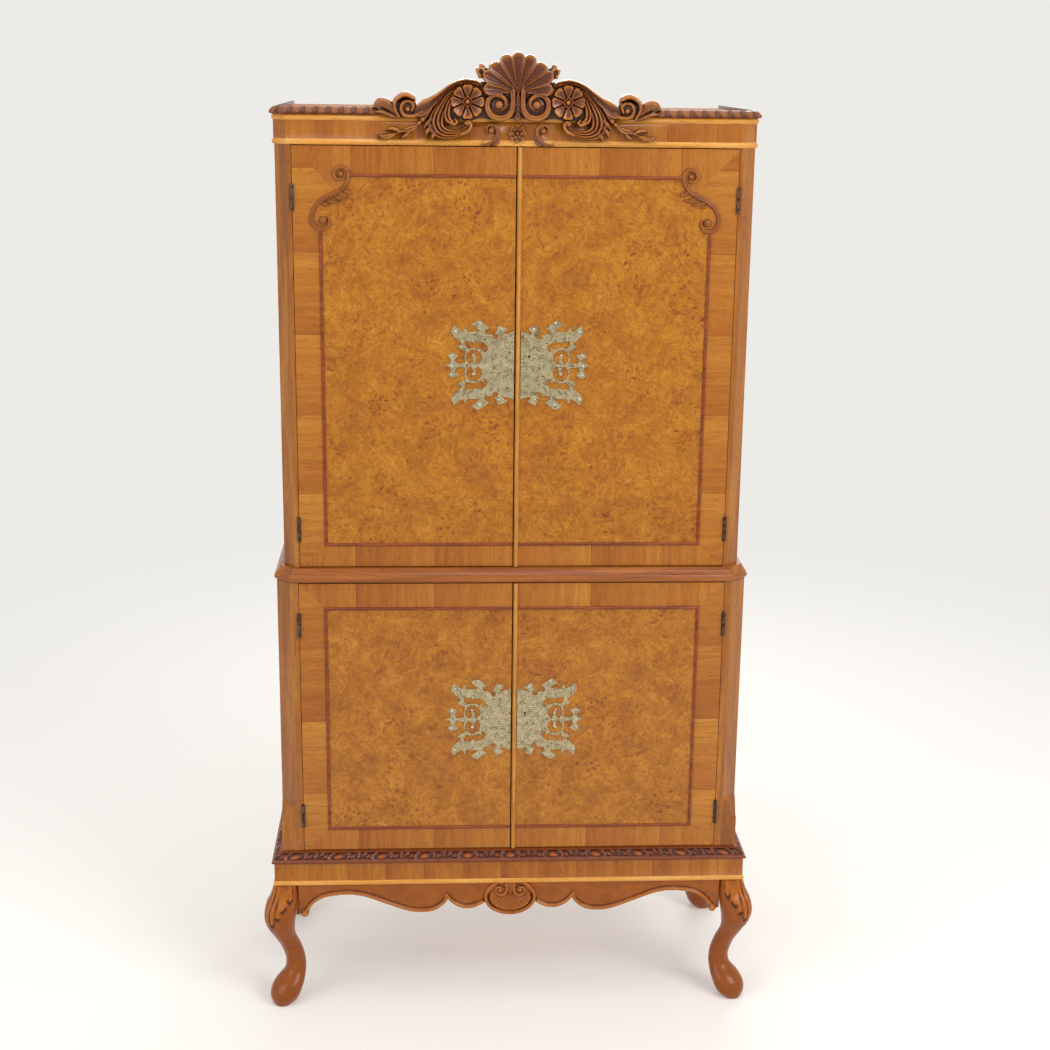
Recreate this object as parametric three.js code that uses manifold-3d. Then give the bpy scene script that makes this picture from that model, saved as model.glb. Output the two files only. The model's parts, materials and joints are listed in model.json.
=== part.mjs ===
// A two-stage burr walnut bar cabinet on cabriole legs, with a carved shell pediment.
// Millimetres. +X is to the viewer's right, +Y goes into the wall, +Z is up, and the floor is z = 0.
import * as THREE from "three";
import { mergeVertices } from "three/addons/utils/BufferGeometryUtils.js";
import Module from "manifold-3d";

const wasm = await Module();
wasm.setup();

// Fits: glued and let-in pieces, doors in their openings, and how far a cutter runs past its work
const GLUE_GAP = 0.3;
const DOOR_CLEARANCE = 1.8;
const HINGE_GAP = 1;
const MEETING_GAP = 2;
const OVERRUN = 6;

// Case widths from the centre line, canted corners, and depth from the upper door fronts to the back
const CASE_DEPTH = 400;
const UPPER_HALF = 425.5;
const UPPER_CANT = 22.2;
const UPPER_STILE_FACE = 7.7;
const LOWER_SHOULDER = 14.5;
const LOWER_HALF = UPPER_HALF + LOWER_SHOULDER;
const LOWER_CANT = 28.1;
const LOWER_STILE_FACE = 13.4;
const LOWER_STEP = 13;
const BASE_SHOULDER = 15;
const BASE_HALF = LOWER_HALF + BASE_SHOULDER;
const BASE_STEP = LOWER_STEP + BASE_SHOULDER;
const STILE_DEPTH = 45;
const SIDE_THICKNESS = 18;
const BACK_THICKNESS = 9;
const BACK_REBATE = 9;

// Heights, stacked from the floor up
const LEG_HEIGHT = 256.2;
const BASE_FRIEZE_HEIGHT = 46.5;
const FLOOR_THICKNESS = 19.7;
const LOWER_OPENING_HEIGHT = 539.3;
const WAIST_THICKNESS = 26.4;
const UPPER_OPENING_HEIGHT = 768.3;
const FRIEZE_HEIGHT = 41;
const TOP_THICKNESS = 18;
const CORNICE_HEIGHT = 23.7;

// Cant stop on the lower stiles
const CANT_STOP_BOTTOM = 59;
const CANT_STOP_RISE = 37;

// Doors and what is planted on them
const DOOR_THICKNESS = 20;
const PANEL_BEAD_WIDTH = 8;
const PANEL_BEAD_PROUD = 5;
const MEETING_BEAD_WIDTH = 8;
const MEETING_BEAD_PROUD = 6;
const UPPER_BORDER_SIDE = 48.6;
const UPPER_BORDER_TOP = 50.6;
const UPPER_BORDER_BOTTOM = 42.2;
const LOWER_BORDER_SIDE = 49.2;
const LOWER_BORDER_TOP = 48.5;
const LOWER_BORDER_BOTTOM = 44.1;
const SCROLL_WIDTH = 64;
const SCROLL_HEIGHT = 104;
const SCROLL_PROUD = 6;

// Butt hinges
const HINGE_LENGTH = 46;
const HINGE_KNUCKLE_RADIUS = 3.2;
const HINGE_PIN_RADIUS = 1.5;
const HINGE_PIN_CLEARANCE = 0.3;
const HINGE_AXIS_PROUD = 2.2;
const HINGE_LEAF_THICKNESS = 1.5;
const HINGE_LEAF_DEPTH = 15;
const HINGE_FROM_BOTTOM = 71;
const UPPER_HINGE_FROM_TOP = 89.5;
const LOWER_HINGE_FROM_TOP = 81;

// Pierced plates and locks
const PLATE_WIDTH = 125;
const PLATE_HALF_HEIGHT = 82;
const PLATE_THICKNESS = 2;
const PLATE_BEAD_CLEARANCE = 0.8;
const UPPER_PLATE_RISE = 378.2;
const LOWER_PLATE_RISE = 265.7;
const KEYHOLE_INSET = 15;
const KEYHOLE_RADIUS = 1.9;
const KEYHOLE_SLOT_WIDTH = 1.8;
const KEYHOLE_SLOT_DROP = 5.2;
const UPPER_KEYHOLE_RISE = 17;
const LOWER_KEYHOLE_RISE = 13;
const LOCK_WIDTH = 50;
const LOCK_HEIGHT = 64;
const LOCK_DEPTH = 11;

// Light beads on the frieze, the cornice and the base, and the runs left bare for the carving
const LIGHT_BEAD_HEIGHT = 9.4;
const LIGHT_BEAD_PROUD = 2.7;
const FRIEZE_PROUD = 1.5;
const FRIEZE_BARE_HALF = 63;
const CORNICE_BEAD_BARE_HALF = 157;
const CORNICE_BARE_HALF = 209;
const CORNICE_WALL = 8;
const CORNICE_LIP = 5.8;
const WAIST_LIP = 6;
const BASE_LIP = 5;
const BASE_RAIL_THICKNESS = 22;

// Pediment
const PEDIMENT_HALF_WIDTH = 252;
const PEDIMENT_HEIGHT = 149;
const PEDIMENT_DROP = 28.3;
const PEDIMENT_GROUND = 7;
const PEDIMENT_RELIEF = 13;
const SHELL_LOBES = 9;
const FLOWER_PETALS = 7;
const FLOWER_RADIUS = 30;
const SHELL_VOLUTE_RADIUS = 23.5;
const END_VOLUTE_RADIUS = 23;
const ARCH_WIDTH = 12;
const LEAF_WIDTH = 13.5;
const LEAF_PROUD = 11.7;
const END_LEAF_WIDTH = 15;
const END_LEAF_PROUD = 10.4;
const ROSETTE_PETALS = 8;
const ROSETTE_RADIUS = 16.5;
const FRIEZE_CARVING_PROUD = 5;

// Legs and aprons
const LEG_SPREAD = 31;
const APRON_THICKNESS = 20;
const APRON_RECESS = 4;
const APRON_DROP = 68.2;
const APRON_BEAD_WIDTH = 8;
const APRON_BEAD_PROUD = 3;
const APRON_CURL_PROUD = 6;
const CARTOUCHE_HALF_WIDTH = 52.5;
const CARTOUCHE_HEIGHT = 77;
const CARTOUCHE_RIBS = 8;
const CARTOUCHE_PROUD = 7;
const SIDE_APRON_DROP = 46;
const REAR_LEG_SET = 36;

// Inside
const MIRROR_THICKNESS = 4;
const MIRROR_MARGIN = 6;
const SHELF_THICKNESS = 6;
const SHELF_RISE = 395;
const SHELF_SETBACK = 60;
const SHELF_GROOVE = 7;

// How round stretches are divided
const BEAD_FACETS = 5;
const STEM_FACETS = 3;
const STEM_STRIDE = 10;
const APRON_STRIDE = 17;
const BALL_FACETS = 8;
const BOARD_FACETS = 2;
const STOP_FACETS = 6;
const HINGE_FACETS = 8;
const LEG_FACETS = 12;
const KEYHOLE_FACETS = 8;
const PLATE_ARC_FACETS = 5;
const CARTOUCHE_FACETS = 20;
const VOLUTE_FACETS = 12;
const PETAL_FACETS = 4;
const SHELL_LOBE_FACETS = 3;
const MERGE_STEP = 1e-4;

// Levels and planes that follow from the sizes above
const BASE_FRIEZE_Z = LEG_HEIGHT + GLUE_GAP;
const FLOOR_Z = BASE_FRIEZE_Z + BASE_FRIEZE_HEIGHT + GLUE_GAP;
const LOWER_OPENING_Z = FLOOR_Z + FLOOR_THICKNESS;
const WAIST_Z = LOWER_OPENING_Z + LOWER_OPENING_HEIGHT;
const UPPER_OPENING_Z = WAIST_Z + WAIST_THICKNESS;
const FRIEZE_Z = UPPER_OPENING_Z + UPPER_OPENING_HEIGHT;
const FRIEZE_TOP_Z = FRIEZE_Z + FRIEZE_HEIGHT;
const CORNICE_Z = FRIEZE_TOP_Z + GLUE_GAP;
const CORNICE_TOP_Z = CORNICE_Z + CORNICE_HEIGHT;
const PEDIMENT_Z = FRIEZE_TOP_Z - PEDIMENT_DROP;
const LOWER_FRONT = -LOWER_STEP;
const BASE_FRONT = -BASE_STEP;
const PEDIMENT_BACK = -FRIEZE_PROUD - GLUE_GAP;
const waistProjection = LOWER_STEP + WAIST_LIP;
const baseProjection = BASE_SHOULDER + BASE_LIP;

const UPPER = {
  name: "upper",
  half: UPPER_HALF,
  front: 0,
  cant: UPPER_CANT,
  stileFace: UPPER_STILE_FACE,
  bottom: UPPER_OPENING_Z,
  height: UPPER_OPENING_HEIGHT,
  borderSide: UPPER_BORDER_SIDE,
  borderTop: UPPER_BORDER_TOP,
  borderBottom: UPPER_BORDER_BOTTOM,
  hingeFromTop: UPPER_HINGE_FROM_TOP,
  plateRise: UPPER_PLATE_RISE,
  keyholeRise: UPPER_KEYHOLE_RISE,
};
const LOWER = {
  name: "lower",
  half: LOWER_HALF,
  front: LOWER_FRONT,
  cant: LOWER_CANT,
  stileFace: LOWER_STILE_FACE,
  bottom: LOWER_OPENING_Z,
  height: LOWER_OPENING_HEIGHT,
  borderSide: LOWER_BORDER_SIDE,
  borderTop: LOWER_BORDER_TOP,
  borderBottom: LOWER_BORDER_BOTTOM,
  hingeFromTop: LOWER_HINGE_FROM_TOP,
  plateRise: LOWER_PLATE_RISE,
  keyholeRise: LOWER_KEYHOLE_RISE,
};

const finish = (name, color, roughness, metalness = 0) =>
  new THREE.MeshStandardMaterial({ name, color, roughness, metalness, flatShading: true });
const WALNUT = finish("polished walnut", 0xa8642a, 0.35);
const BURR = finish("burr walnut veneer", 0xb8752a, 0.3);
const CARVED = finish("carved dark walnut", 0x7a3f1a, 0.4);
const LIGHT_BEAD = finish("light bead", 0xd9a24a, 0.35);
const RED_BEAD = finish("panel bead", 0x8e4a22, 0.35);
const PLAIN = finish("inside veneer", 0x9a5f30, 0.55);
const BRASS = finish("engraved brass", 0xc9bd92, 0.35, 1);
const IRON = finish("bronzed steel", 0x4a3b30, 0.45, 1);
const MIRROR = finish("silvered glass", 0xdfe6e8, 0.05, 1);
const GLASS = finish("clear glass", 0xcfe3dd, 0.05);

// Meshes and solids

// The volume inside an indexed mesh, negative where its faces point in.
function signedVolume(positions, index) {
  const corner = (k) => new THREE.Vector3().fromArray(positions, index[k] * 3);
  let sum = 0;
  for (let k = 0; k < index.length; k += 3)
    sum += corner(k).dot(corner(k + 1).cross(corner(k + 2)));
  return sum / 6;
}

// A closed mesh with shared corners, no collapsed faces, and every face pointing out.
function closedMesh(geometry) {
  const bare = new THREE.BufferGeometry();
  bare.setAttribute("position", geometry.getAttribute("position"));
  if (geometry.index) bare.setIndex(geometry.index);
  const merged = mergeVertices(bare, MERGE_STEP);
  const index = [];
  for (let k = 0; k < merged.index.count; k += 3) {
    const [a, b, c] = merged.index.array.slice(k, k + 3);
    if (a !== b && b !== c && c !== a) index.push(a, b, c);
  }
  if (signedVolume(merged.attributes.position.array, index) < 0) index.reverse();
  return merged.setIndex(index);
}

const newSolid = (vertProperties, triVerts) =>
  new wasm.Manifold(new wasm.Mesh({ numProp: 3, vertProperties, triVerts }));

// A mesh as a solid that can be joined and cut. A solid stays as it is.
function solidOf(piece) {
  if (!piece.isBufferGeometry) return piece;
  const closed = closedMesh(piece);
  return newSolid(new Float32Array(closed.attributes.position.array), new Uint32Array(closed.index.array));
}

// A solid as a mesh again.
function meshOf(piece) {
  const { vertProperties, triVerts } = solidOf(piece).getMesh();
  const geometry = new THREE.BufferGeometry();
  geometry.setAttribute("position", new THREE.BufferAttribute(vertProperties, 3));
  return geometry.setIndex(new THREE.BufferAttribute(triVerts, 1));
}

const join = (...pieces) => pieces.map(solidOf).reduce((all, one) => all.add(one));
const cut = (piece, ...cutters) =>
  cutters.map(solidOf).reduce((left, one) => left.subtract(one), solidOf(piece));

// The mirror image of a piece on the other side of x = 0.
function mirrored(piece) {
  const { vertProperties, triVerts } = solidOf(piece).getMesh();
  const flipped = vertProperties.map((value, k) => (k % 3 === 0 ? -value : value));
  return newSolid(flipped, triVerts.slice().reverse());
}

// A box between two corners.
function block([x0, y0, z0], [x1, y1, z1]) {
  const box = new THREE.BoxGeometry(x1 - x0, y1 - y0, z1 - z0);
  return box.translate((x0 + x1) / 2, (y0 + y1) / 2, (z0 + z1) / 2);
}

// A plan outline of [x, y] points, raised from one level to another.
function raised(outline, z0, z1) {
  const shape = new THREE.Shape(outline.map(([x, y]) => new THREE.Vector2(x, y)));
  return new THREE.ExtrudeGeometry(shape, { depth: z1 - z0, bevelEnabled: false }).translate(0, 0, z0);
}

// A shape drawn in x and z, given thickness from its front plane to its back plane.
function fretted(shape, front, back, curveSegments = BOARD_FACETS) {
  const settings = { depth: back - front, bevelEnabled: false, curveSegments };
  return new THREE.ExtrudeGeometry(shape, settings).rotateX(Math.PI / 2).translate(0, back, 0);
}

// An upright rod about a vertical axis.
function rod(x, y, radius, z0, z1) {
  const cylinder = new THREE.CylinderGeometry(radius, radius, z1 - z0, HINGE_FACETS);
  return cylinder.rotateX(Math.PI / 2).translate(x, y, (z0 + z1) / 2);
}

// Triangles that fill a flat outline of numbered corners, against or along its own direction.
function fill(outline, corners, along) {
  const turn = Math.sign(THREE.ShapeUtils.area(outline)) * (along ? 1 : -1);
  const faces = THREE.ShapeUtils.triangulateShape(outline, []);
  return faces.flatMap((face) => {
    const area = THREE.ShapeUtils.area(face.map((k) => outline[k]));
    const order = Math.sign(area) === turn ? face : [face[0], face[2], face[1]];
    return order.map((k) => corners[k]);
  });
}

function meshFrom(points, index) {
  return closedMesh(new THREE.BufferGeometry().setFromPoints(points).setIndex(index));
}

// Faces between rows of points, where each row goes round once or, if open, from end to end.
function skin(rows, size, round = true) {
  const index = [];
  for (let i = 0; i + 1 < rows; i += 1)
    for (let j = 0; j < (round ? size : size - 1); j += 1) {
      const a = i * size + j;
      const b = i * size + ((j + 1) % size);
      index.push(a, b, b + size, a, b + size, a + size);
    }
  return index;
}

// A solid through flat rings of points. Each ring has the outline given for its ends.
function loft(rings, outline) {
  const size = outline.length;
  const first = outline.map((_, j) => j);
  const last = first.map((j) => (rings.length - 1) * size + j);
  const index = skin(rings.length, size);
  index.push(...fill(outline, first, false), ...fill(outline, last, true));
  return meshFrom(rings.flat(), index);
}

// How far each corner of a path moves, per unit of offset, so that its mitres meet.
function mitres(path, closed) {
  const count = path.length;
  const normal = (k) => {
    const a = path[(k + count) % count];
    const b = path[(k + 1 + count) % count];
    const run = new THREE.Vector2(b[0] - a[0], b[1] - a[1]).normalize();
    return new THREE.Vector2(run.y, -run.x);
  };
  return path.map((_, k) => {
    const before = closed || k > 0 ? normal(k - 1) : normal(k);
    const after = closed || k + 1 < count ? normal(k) : before;
    return before.clone().add(after).divideScalar(1 + before.dot(after));
  });
}

// A moulding with mitred corners. The profile is [offset to the path's right, height] points,
// and place turns a point of the path and a height into a point in space.
function moulding(path, profile, place, closed = false) {
  const shifts = mitres(path, closed);
  const rings = path.map(([a, b], k) =>
    profile.map(([offset, height]) =>
      place(a + shifts[k].x * offset, b + shifts[k].y * offset, height),
    ),
  );
  const outline = profile.map(([offset, height]) => new THREE.Vector2(offset, height));
  if (!closed) return loft(rings, outline);
  return meshFrom([...rings, rings[0]].flat(), skin(rings.length + 1, profile.length));
}

const inPlan = (x, y, height) => new THREE.Vector3(x, y, height);
const onFace = (x, z, height) => new THREE.Vector3(x, -height, z);

// A half-round profile of a given width and height, on a centre at [offset, level].
function halfRound(width, proud) {
  return Array.from({ length: BEAD_FACETS + 1 }, (_, k) => {
    const angle = (Math.PI * k) / BEAD_FACETS;
    return [(-width / 2) * Math.cos(angle), proud * Math.sin(angle)];
  });
}

// The same bead standing on a vertical face: width runs up from its foot level.
function uprightBead(face, foot, width, proud) {
  return halfRound(width, proud).map(([along, out]) => [face + out, foot + width / 2 + along]);
}

// A relief on a flat back: rows of face points, and straight edges down to the back. On a round
// relief each row goes round once and the first row is its middle.
function relief(rows, back, round = false) {
  const size = rows[0].length;
  const count = rows.length * size;
  const points = rows.flat();
  const index = skin(rows.length, size, round);
  const flat = (point) => new THREE.Vector3(point.x, back, point.z);
  const build = round ? roundBack : openBack;
  points.push(...(round ? [...rows.at(-1), rows[0][0]] : rows.flat()).map(flat));
  return meshFrom(points, [...index, ...build(index, size, count)]);
}

// The wall and back of a round relief, whose back points are its last row and its middle.
function roundBack(index, size, count) {
  return Array.from({ length: size }, (_, j) => {
    const next = (j + 1) % size;
    const [a, b] = [count - size + j, count - size + next];
    return [a, b, count + next, a, count + next, count + j, count + j, count + next, count + size];
  }).flat();
}

// The walls and back of an open relief, whose back points repeat its face's.
function openBack(index, size, count) {
  const faces = index.map((_, k) => index[k - (k % 3) + ((3 - (k % 3)) % 3)] + count);
  const steps = Array.from({ length: size }, (_, j) => j);
  const levels = Array.from({ length: count / size }, (_, i) => i * size);
  const rim = [
    ...steps.slice(0, -1),
    ...levels.slice(0, -1).map((start) => start + size - 1),
    ...steps.slice(1).map((j) => count - size + j).reverse(),
    ...levels.slice(1).reverse(),
  ];
  rim.forEach((p, k) => {
    const q = rim[(k + 1) % rim.length];
    faces.push(q, p, p + count, q, p + count, q + count);
  });
  return faces;
}

// A carved stem or leaf: a half-round ridge along a curve in x and z, on a flat back.
// widths and heights are lists of values, spread evenly along the curve.
function stem(curve, { widths, heights, face, back, stride = STEM_STRIDE }) {
  const steps = Math.ceil(curve.getLength() / stride);
  const along = (values, t) => {
    const place = t * (values.length - 1);
    const low = Math.min(Math.floor(place), values.length - 2);
    return THREE.MathUtils.lerp(values[low], values[low + 1], place - low);
  };
  const section = (t) => {
    const half = along(widths, t) / 2;
    const arc = Array.from({ length: STEM_FACETS + 1 }, (_, j) => {
      const angle = (Math.PI * j) / STEM_FACETS;
      return [half * Math.cos(angle), face - along(heights, t) * Math.sin(angle)];
    });
    return [[half, back], ...arc, [-half, back]];
  };
  const rings = Array.from({ length: steps + 1 }, (_, i) => {
    const middle = curve.getPointAt(i / steps);
    const run = curve.getTangentAt(i / steps);
    return section(i / steps).map(
      ([side, y]) => new THREE.Vector3(middle.x - run.y * side, y, middle.y + run.x * side),
    );
  });
  return loft(rings, section(0).map(([side, y]) => new THREE.Vector2(side, y)));
}

// A round relief about a centre: radii and heights are shares of its radius and its rise,
// and ripple gives the radius share of the rim at each angle.
function boss(centre, { radius, rise, radiusShares, heightShares, face, back, facets, ripple = () => 1 }) {
  const rows = radiusShares.map((share, i) =>
    Array.from({ length: facets }, (_, j) => {
      const angle = (2 * Math.PI * j) / facets;
      const reach = radius * share * THREE.MathUtils.lerp(1, ripple(angle), share);
      const height = rise * heightShares[i];
      return new THREE.Vector3(
        centre.x + reach * Math.cos(angle),
        face - height,
        centre.y + reach * Math.sin(angle),
      );
    }),
  );
  return relief(rows, back, true);
}

const BALL_RADIUS_SHARES = [0, 0.62, 1];
const BALL_HEIGHT_SHARES = [1, 0.78, 0];
const ball = (centre, radius, rise, face, back) =>
  boss(centre, {
    radius,
    rise,
    face,
    back,
    facets: BALL_FACETS,
    radiusShares: BALL_RADIUS_SHARES,
    heightShares: BALL_HEIGHT_SHARES,
  });

// Points of a spiral that turns in from its outer radius to its inner one.
function spiralPoints(centre, outer, inner, startAngle, turns, steps) {
  return Array.from({ length: steps + 1 }, (_, k) => {
    const angle = startAngle + (2 * Math.PI * turns * k) / steps;
    const radius = THREE.MathUtils.lerp(outer, inner, k / steps);
    return new THREE.Vector2(centre.x + radius * Math.cos(angle), centre.y + radius * Math.sin(angle));
  });
}

const curveThrough = (points) => new THREE.SplineCurve(points);
const sharesOf = (shares, size) => shares.map((share) => share * size);

// The rim of a flower: how far it reaches at each angle, with a notch between petals.
const PETAL_NOTCH_SHARE = 0.16;
const petals = (count) => (angle) =>
  1 - PETAL_NOTCH_SHARE * (1 - Math.abs(Math.cos((count * angle) / 2)));

// Plan outlines

// The front and sides of a case, from its back left corner round to its back right corner.
function caseOutline(half, front, cant) {
  const left = [
    [-half, CASE_DEPTH],
    [-half, front + cant],
    [-half + cant, front],
  ];
  return [...left, ...left.map(([x, y]) => [-x, y]).reverse()];
}

function squareOutline(half, front) {
  return [
    [-half, CASE_DEPTH],
    [-half, front],
    [half, front],
    [half, CASE_DEPTH],
  ];
}

const upperOutline = caseOutline(UPPER_HALF, 0, UPPER_CANT);
const lowerSquareOutline = squareOutline(LOWER_HALF, LOWER_FRONT);
const baseOutline = squareOutline(BASE_HALF, BASE_FRONT);

// An outline moved out (or in, where negative), with its mitres kept.
function offset(outline, distance) {
  const shifts = mitres(outline, false);
  return outline.map(([x, y], k) => [x + shifts[k].x * distance, y + shifts[k].y * distance]);
}

// Hinge places, measured on the left side

const stileInner = (stage) => stage.half - stage.cant - stage.stileFace;
const doorOuter = (stage) => stileInner(stage) - HINGE_GAP;
const doorBottom = (stage) => stage.bottom + DOOR_CLEARANCE;
const doorHeight = (stage) => stage.height - 2 * DOOR_CLEARANCE;
const hingeX = (stage) => -stileInner(stage) + HINGE_GAP / 2;
const hingeY = (stage) => stage.front - HINGE_AXIS_PROUD;

// The bottom ends of a door's two hinges, in order upwards.
function hingeFeet(stage) {
  const low = doorBottom(stage) + HINGE_FROM_BOTTOM - HINGE_LENGTH / 2;
  const high = doorBottom(stage) + doorHeight(stage) - stage.hingeFromTop - HINGE_LENGTH / 2;
  return [low, high];
}

// Room for a knuckle where it sinks into the wood beside it.
function knuckleRoom(stage, foot) {
  const radius = HINGE_KNUCKLE_RADIUS + HINGE_GAP / 2;
  return rod(hingeX(stage), hingeY(stage), radius, foot - GLUE_GAP, foot + HINGE_LENGTH + GLUE_GAP);
}

// Room for a leaf let into an edge: direction -1 is the stile's edge, 1 the door's.
function leafRoom(stage, foot, direction) {
  const edge = hingeX(stage) + (direction * HINGE_GAP) / 2;
  const floor = edge + direction * (HINGE_LEAF_THICKNESS + GLUE_GAP);
  const past = edge - direction * GLUE_GAP;
  return block(
    [Math.min(floor, past), hingeY(stage), foot - GLUE_GAP],
    [Math.max(floor, past), stage.front + HINGE_LEAF_DEPTH + GLUE_GAP, foot + HINGE_LENGTH + GLUE_GAP],
  );
}

// One leaf of a hinge: the plate and its knuckles. The case leaf carries the two end knuckles
// and the pin, the door leaf the middle knuckle, bored for the pin.
function hingeLeaf(stage, foot, direction) {
  const x = hingeX(stage);
  const y = hingeY(stage);
  const knuckle = HINGE_LENGTH / 3;
  const edge = x + (direction * HINGE_GAP) / 2;
  const under = edge + direction * HINGE_LEAF_THICKNESS;
  const plate = block(
    [Math.min(edge, under), y, foot],
    [Math.max(edge, under), stage.front + HINGE_LEAF_DEPTH, foot + HINGE_LENGTH],
  );
  const barrel = (k, extra = 0) =>
    rod(x, y, HINGE_KNUCKLE_RADIUS + extra, foot + k * knuckle - extra, foot + (k + 1) * knuckle + extra);
  const own = direction < 0 ? [0, 2] : [1];
  const others = direction < 0 ? [1] : [0, 2];
  const bored = join(
    cut(plate, ...others.map((k) => barrel(k, GLUE_GAP))),
    ...own.map((k) => cut(barrel(k), ...others.map((n) => seam(x, y, foot, n, knuckle)))),
  );
  if (direction < 0) return join(bored, rod(x, y, HINGE_PIN_RADIUS, foot, foot + HINGE_LENGTH));
  const bore = HINGE_PIN_RADIUS + HINGE_PIN_CLEARANCE;
  return cut(bored, rod(x, y, bore, foot - OVERRUN, foot + HINGE_LENGTH + OVERRUN));
}

// A thin slice over a neighbour's knuckle and just past its ends, which leaves running clearance.
function seam(x, y, foot, k, knuckle) {
  const reach = HINGE_KNUCKLE_RADIUS + OVERRUN;
  const low = foot + k * knuckle - GLUE_GAP / 2;
  return block([x - reach, y - reach, low], [x + reach, y + reach, low + knuckle + GLUE_GAP]);
}

// Carcase

// A corner stile in plan, with its cant. The square one keeps its corner.
function stilePlan(stage, square) {
  const inner = -stileInner(stage);
  const back = stage.front + STILE_DEPTH;
  const outer = square
    ? [[-stage.half, stage.front]]
    : [
        [-stage.half, stage.front + stage.cant],
        [-stage.half + stage.cant, stage.front],
      ];
  return [...outer, [inner, stage.front], [inner, back], [-stage.half, back]];
}

// The cutter of the lower cant: a wedge across the corner whose foot curves out to nothing.
function stoppedCant(stage, bottom, top) {
  const deep = stage.cant * Math.SQRT1_2;
  const start = bottom + CANT_STOP_BOTTOM;
  const end = start + CANT_STOP_RISE;
  const side = new THREE.Shape();
  side.moveTo(-OVERRUN, start);
  side.lineTo(0, start);
  side.bezierCurveTo(deep / 2, start, deep / 2, end, deep, end);
  side.lineTo(deep, top + OVERRUN);
  side.lineTo(-OVERRUN, top + OVERRUN);
  const span = 2 * stage.cant + 2 * OVERRUN;
  const settings = { depth: span, bevelEnabled: false, curveSegments: STOP_FACETS };
  const wedge = new THREE.ExtrudeGeometry(side, settings);
  wedge.translate(0, 0, -span / 2).rotateX(Math.PI / 2);
  return wedge.rotateZ(Math.PI / 4).translate(-stage.half, stage.front, 0);
}

function cornerStile(stage) {
  const bottom = stage.bottom + GLUE_GAP;
  const top = stage.bottom + stage.height - GLUE_GAP;
  const square = stage === LOWER;
  const post = raised(stilePlan(stage, square), bottom, top);
  const feet = hingeFeet(stage);
  return cut(
    post,
    ...(square ? [stoppedCant(stage, bottom, top)] : []),
    ...feet.map((foot) => leafRoom(stage, foot, -1)),
    ...feet.map((foot) => knuckleRoom(stage, foot)),
  );
}

// A side board, rebated behind for the back panel.
function sideBoard(stage) {
  const inner = -stage.half + SIDE_THICKNESS;
  const rebate = CASE_DEPTH - BACK_THICKNESS;
  const plan = [
    [-stage.half, stage.front + STILE_DEPTH + GLUE_GAP],
    [inner, stage.front + STILE_DEPTH + GLUE_GAP],
    [inner, rebate],
    [inner - BACK_REBATE, rebate],
    [inner - BACK_REBATE, CASE_DEPTH],
    [-stage.half, CASE_DEPTH],
  ];
  const board = raised(plan, stage.bottom + GLUE_GAP, stage.bottom + stage.height - GLUE_GAP);
  if (stage === LOWER) return board;
  const low = stage.bottom + SHELF_RISE - GLUE_GAP;
  const high = low + SHELF_THICKNESS + 2 * GLUE_GAP;
  const groove = block(
    [inner - SHELF_GROOVE - GLUE_GAP, stage.front + SHELF_SETBACK - GLUE_GAP, low],
    [inner + OVERRUN, rebate - MIRROR_THICKNESS - GLUE_GAP, high],
  );
  return cut(board, groove);
}

function backPanel(stage) {
  const half = stage.half - SIDE_THICKNESS + BACK_REBATE - GLUE_GAP;
  const front = CASE_DEPTH - BACK_THICKNESS + GLUE_GAP;
  const top = stage.bottom + stage.height - GLUE_GAP;
  const panel = block([-half, front, stage.bottom + GLUE_GAP], [half, CASE_DEPTH, top]);
  if (stage === LOWER) return panel;
  const narrow = UPPER_HALF + FRIEZE_PROUD - SIDE_THICKNESS - GLUE_GAP;
  return join(panel, block([-narrow, front, stage.bottom + GLUE_GAP], [narrow, CASE_DEPTH, FRIEZE_TOP_Z]));
}

function waistBoard() {
  return raised(upperOutline, WAIST_Z, UPPER_OPENING_Z);
}

function floorBoard() {
  return raised(lowerSquareOutline, FLOOR_Z, LOWER_OPENING_Z);
}

function topBoard() {
  return raised(offset(upperOutline, -CORNICE_WALL - GLUE_GAP), CORNICE_Z, CORNICE_Z + TOP_THICKNESS);
}

// A box that clears the middle run of a moulding, between two levels.
function middleRun(half, low, high) {
  return block([-half, -waistProjection, low], [half, -FRIEZE_PROUD, high]);
}

// The frieze rail: a flat band round three sides, with its lower bead and planted carvings.
function frieze() {
  const inner = FRIEZE_PROUD - SIDE_THICKNESS;
  const band = moulding(
    upperOutline,
    [
      [inner, FRIEZE_Z],
      [FRIEZE_PROUD, FRIEZE_Z],
      [FRIEZE_PROUD, FRIEZE_TOP_Z],
      [inner, FRIEZE_TOP_Z],
    ],
    inPlan,
  );
  const sunk = FRIEZE_PROUD - GLUE_GAP;
  const profile = uprightBead(sunk, FRIEZE_Z, LIGHT_BEAD_HEIGHT, LIGHT_BEAD_PROUD + GLUE_GAP);
  const bead = cut(
    moulding(upperOutline, profile, inPlan),
    middleRun(FRIEZE_BARE_HALF, FRIEZE_Z - OVERRUN, FRIEZE_Z + LIGHT_BEAD_HEIGHT + OVERRUN),
  );
  const scroll = friezeScroll();
  return join(band, bead, rosette(), scroll, mirrored(scroll));
}

const ROSETTE_RADIUS_SHARES = [0, 0.3, 0.42, 1];
const ROSETTE_HEIGHT_SHARES = [1, 0.5, 1, 0.4];

function rosette() {
  return boss(new THREE.Vector2(0, FRIEZE_TOP_Z - ROSETTE_RADIUS - GLUE_GAP), {
    radius: ROSETTE_RADIUS,
    rise: FRIEZE_CARVING_PROUD,
    radiusShares: ROSETTE_RADIUS_SHARES,
    heightShares: ROSETTE_HEIGHT_SHARES,
    face: -FRIEZE_PROUD,
    back: -FRIEZE_PROUD + GLUE_GAP,
    facets: PETAL_FACETS * ROSETTE_PETALS,
    ripple: petals(ROSETTE_PETALS),
  });
}

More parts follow.
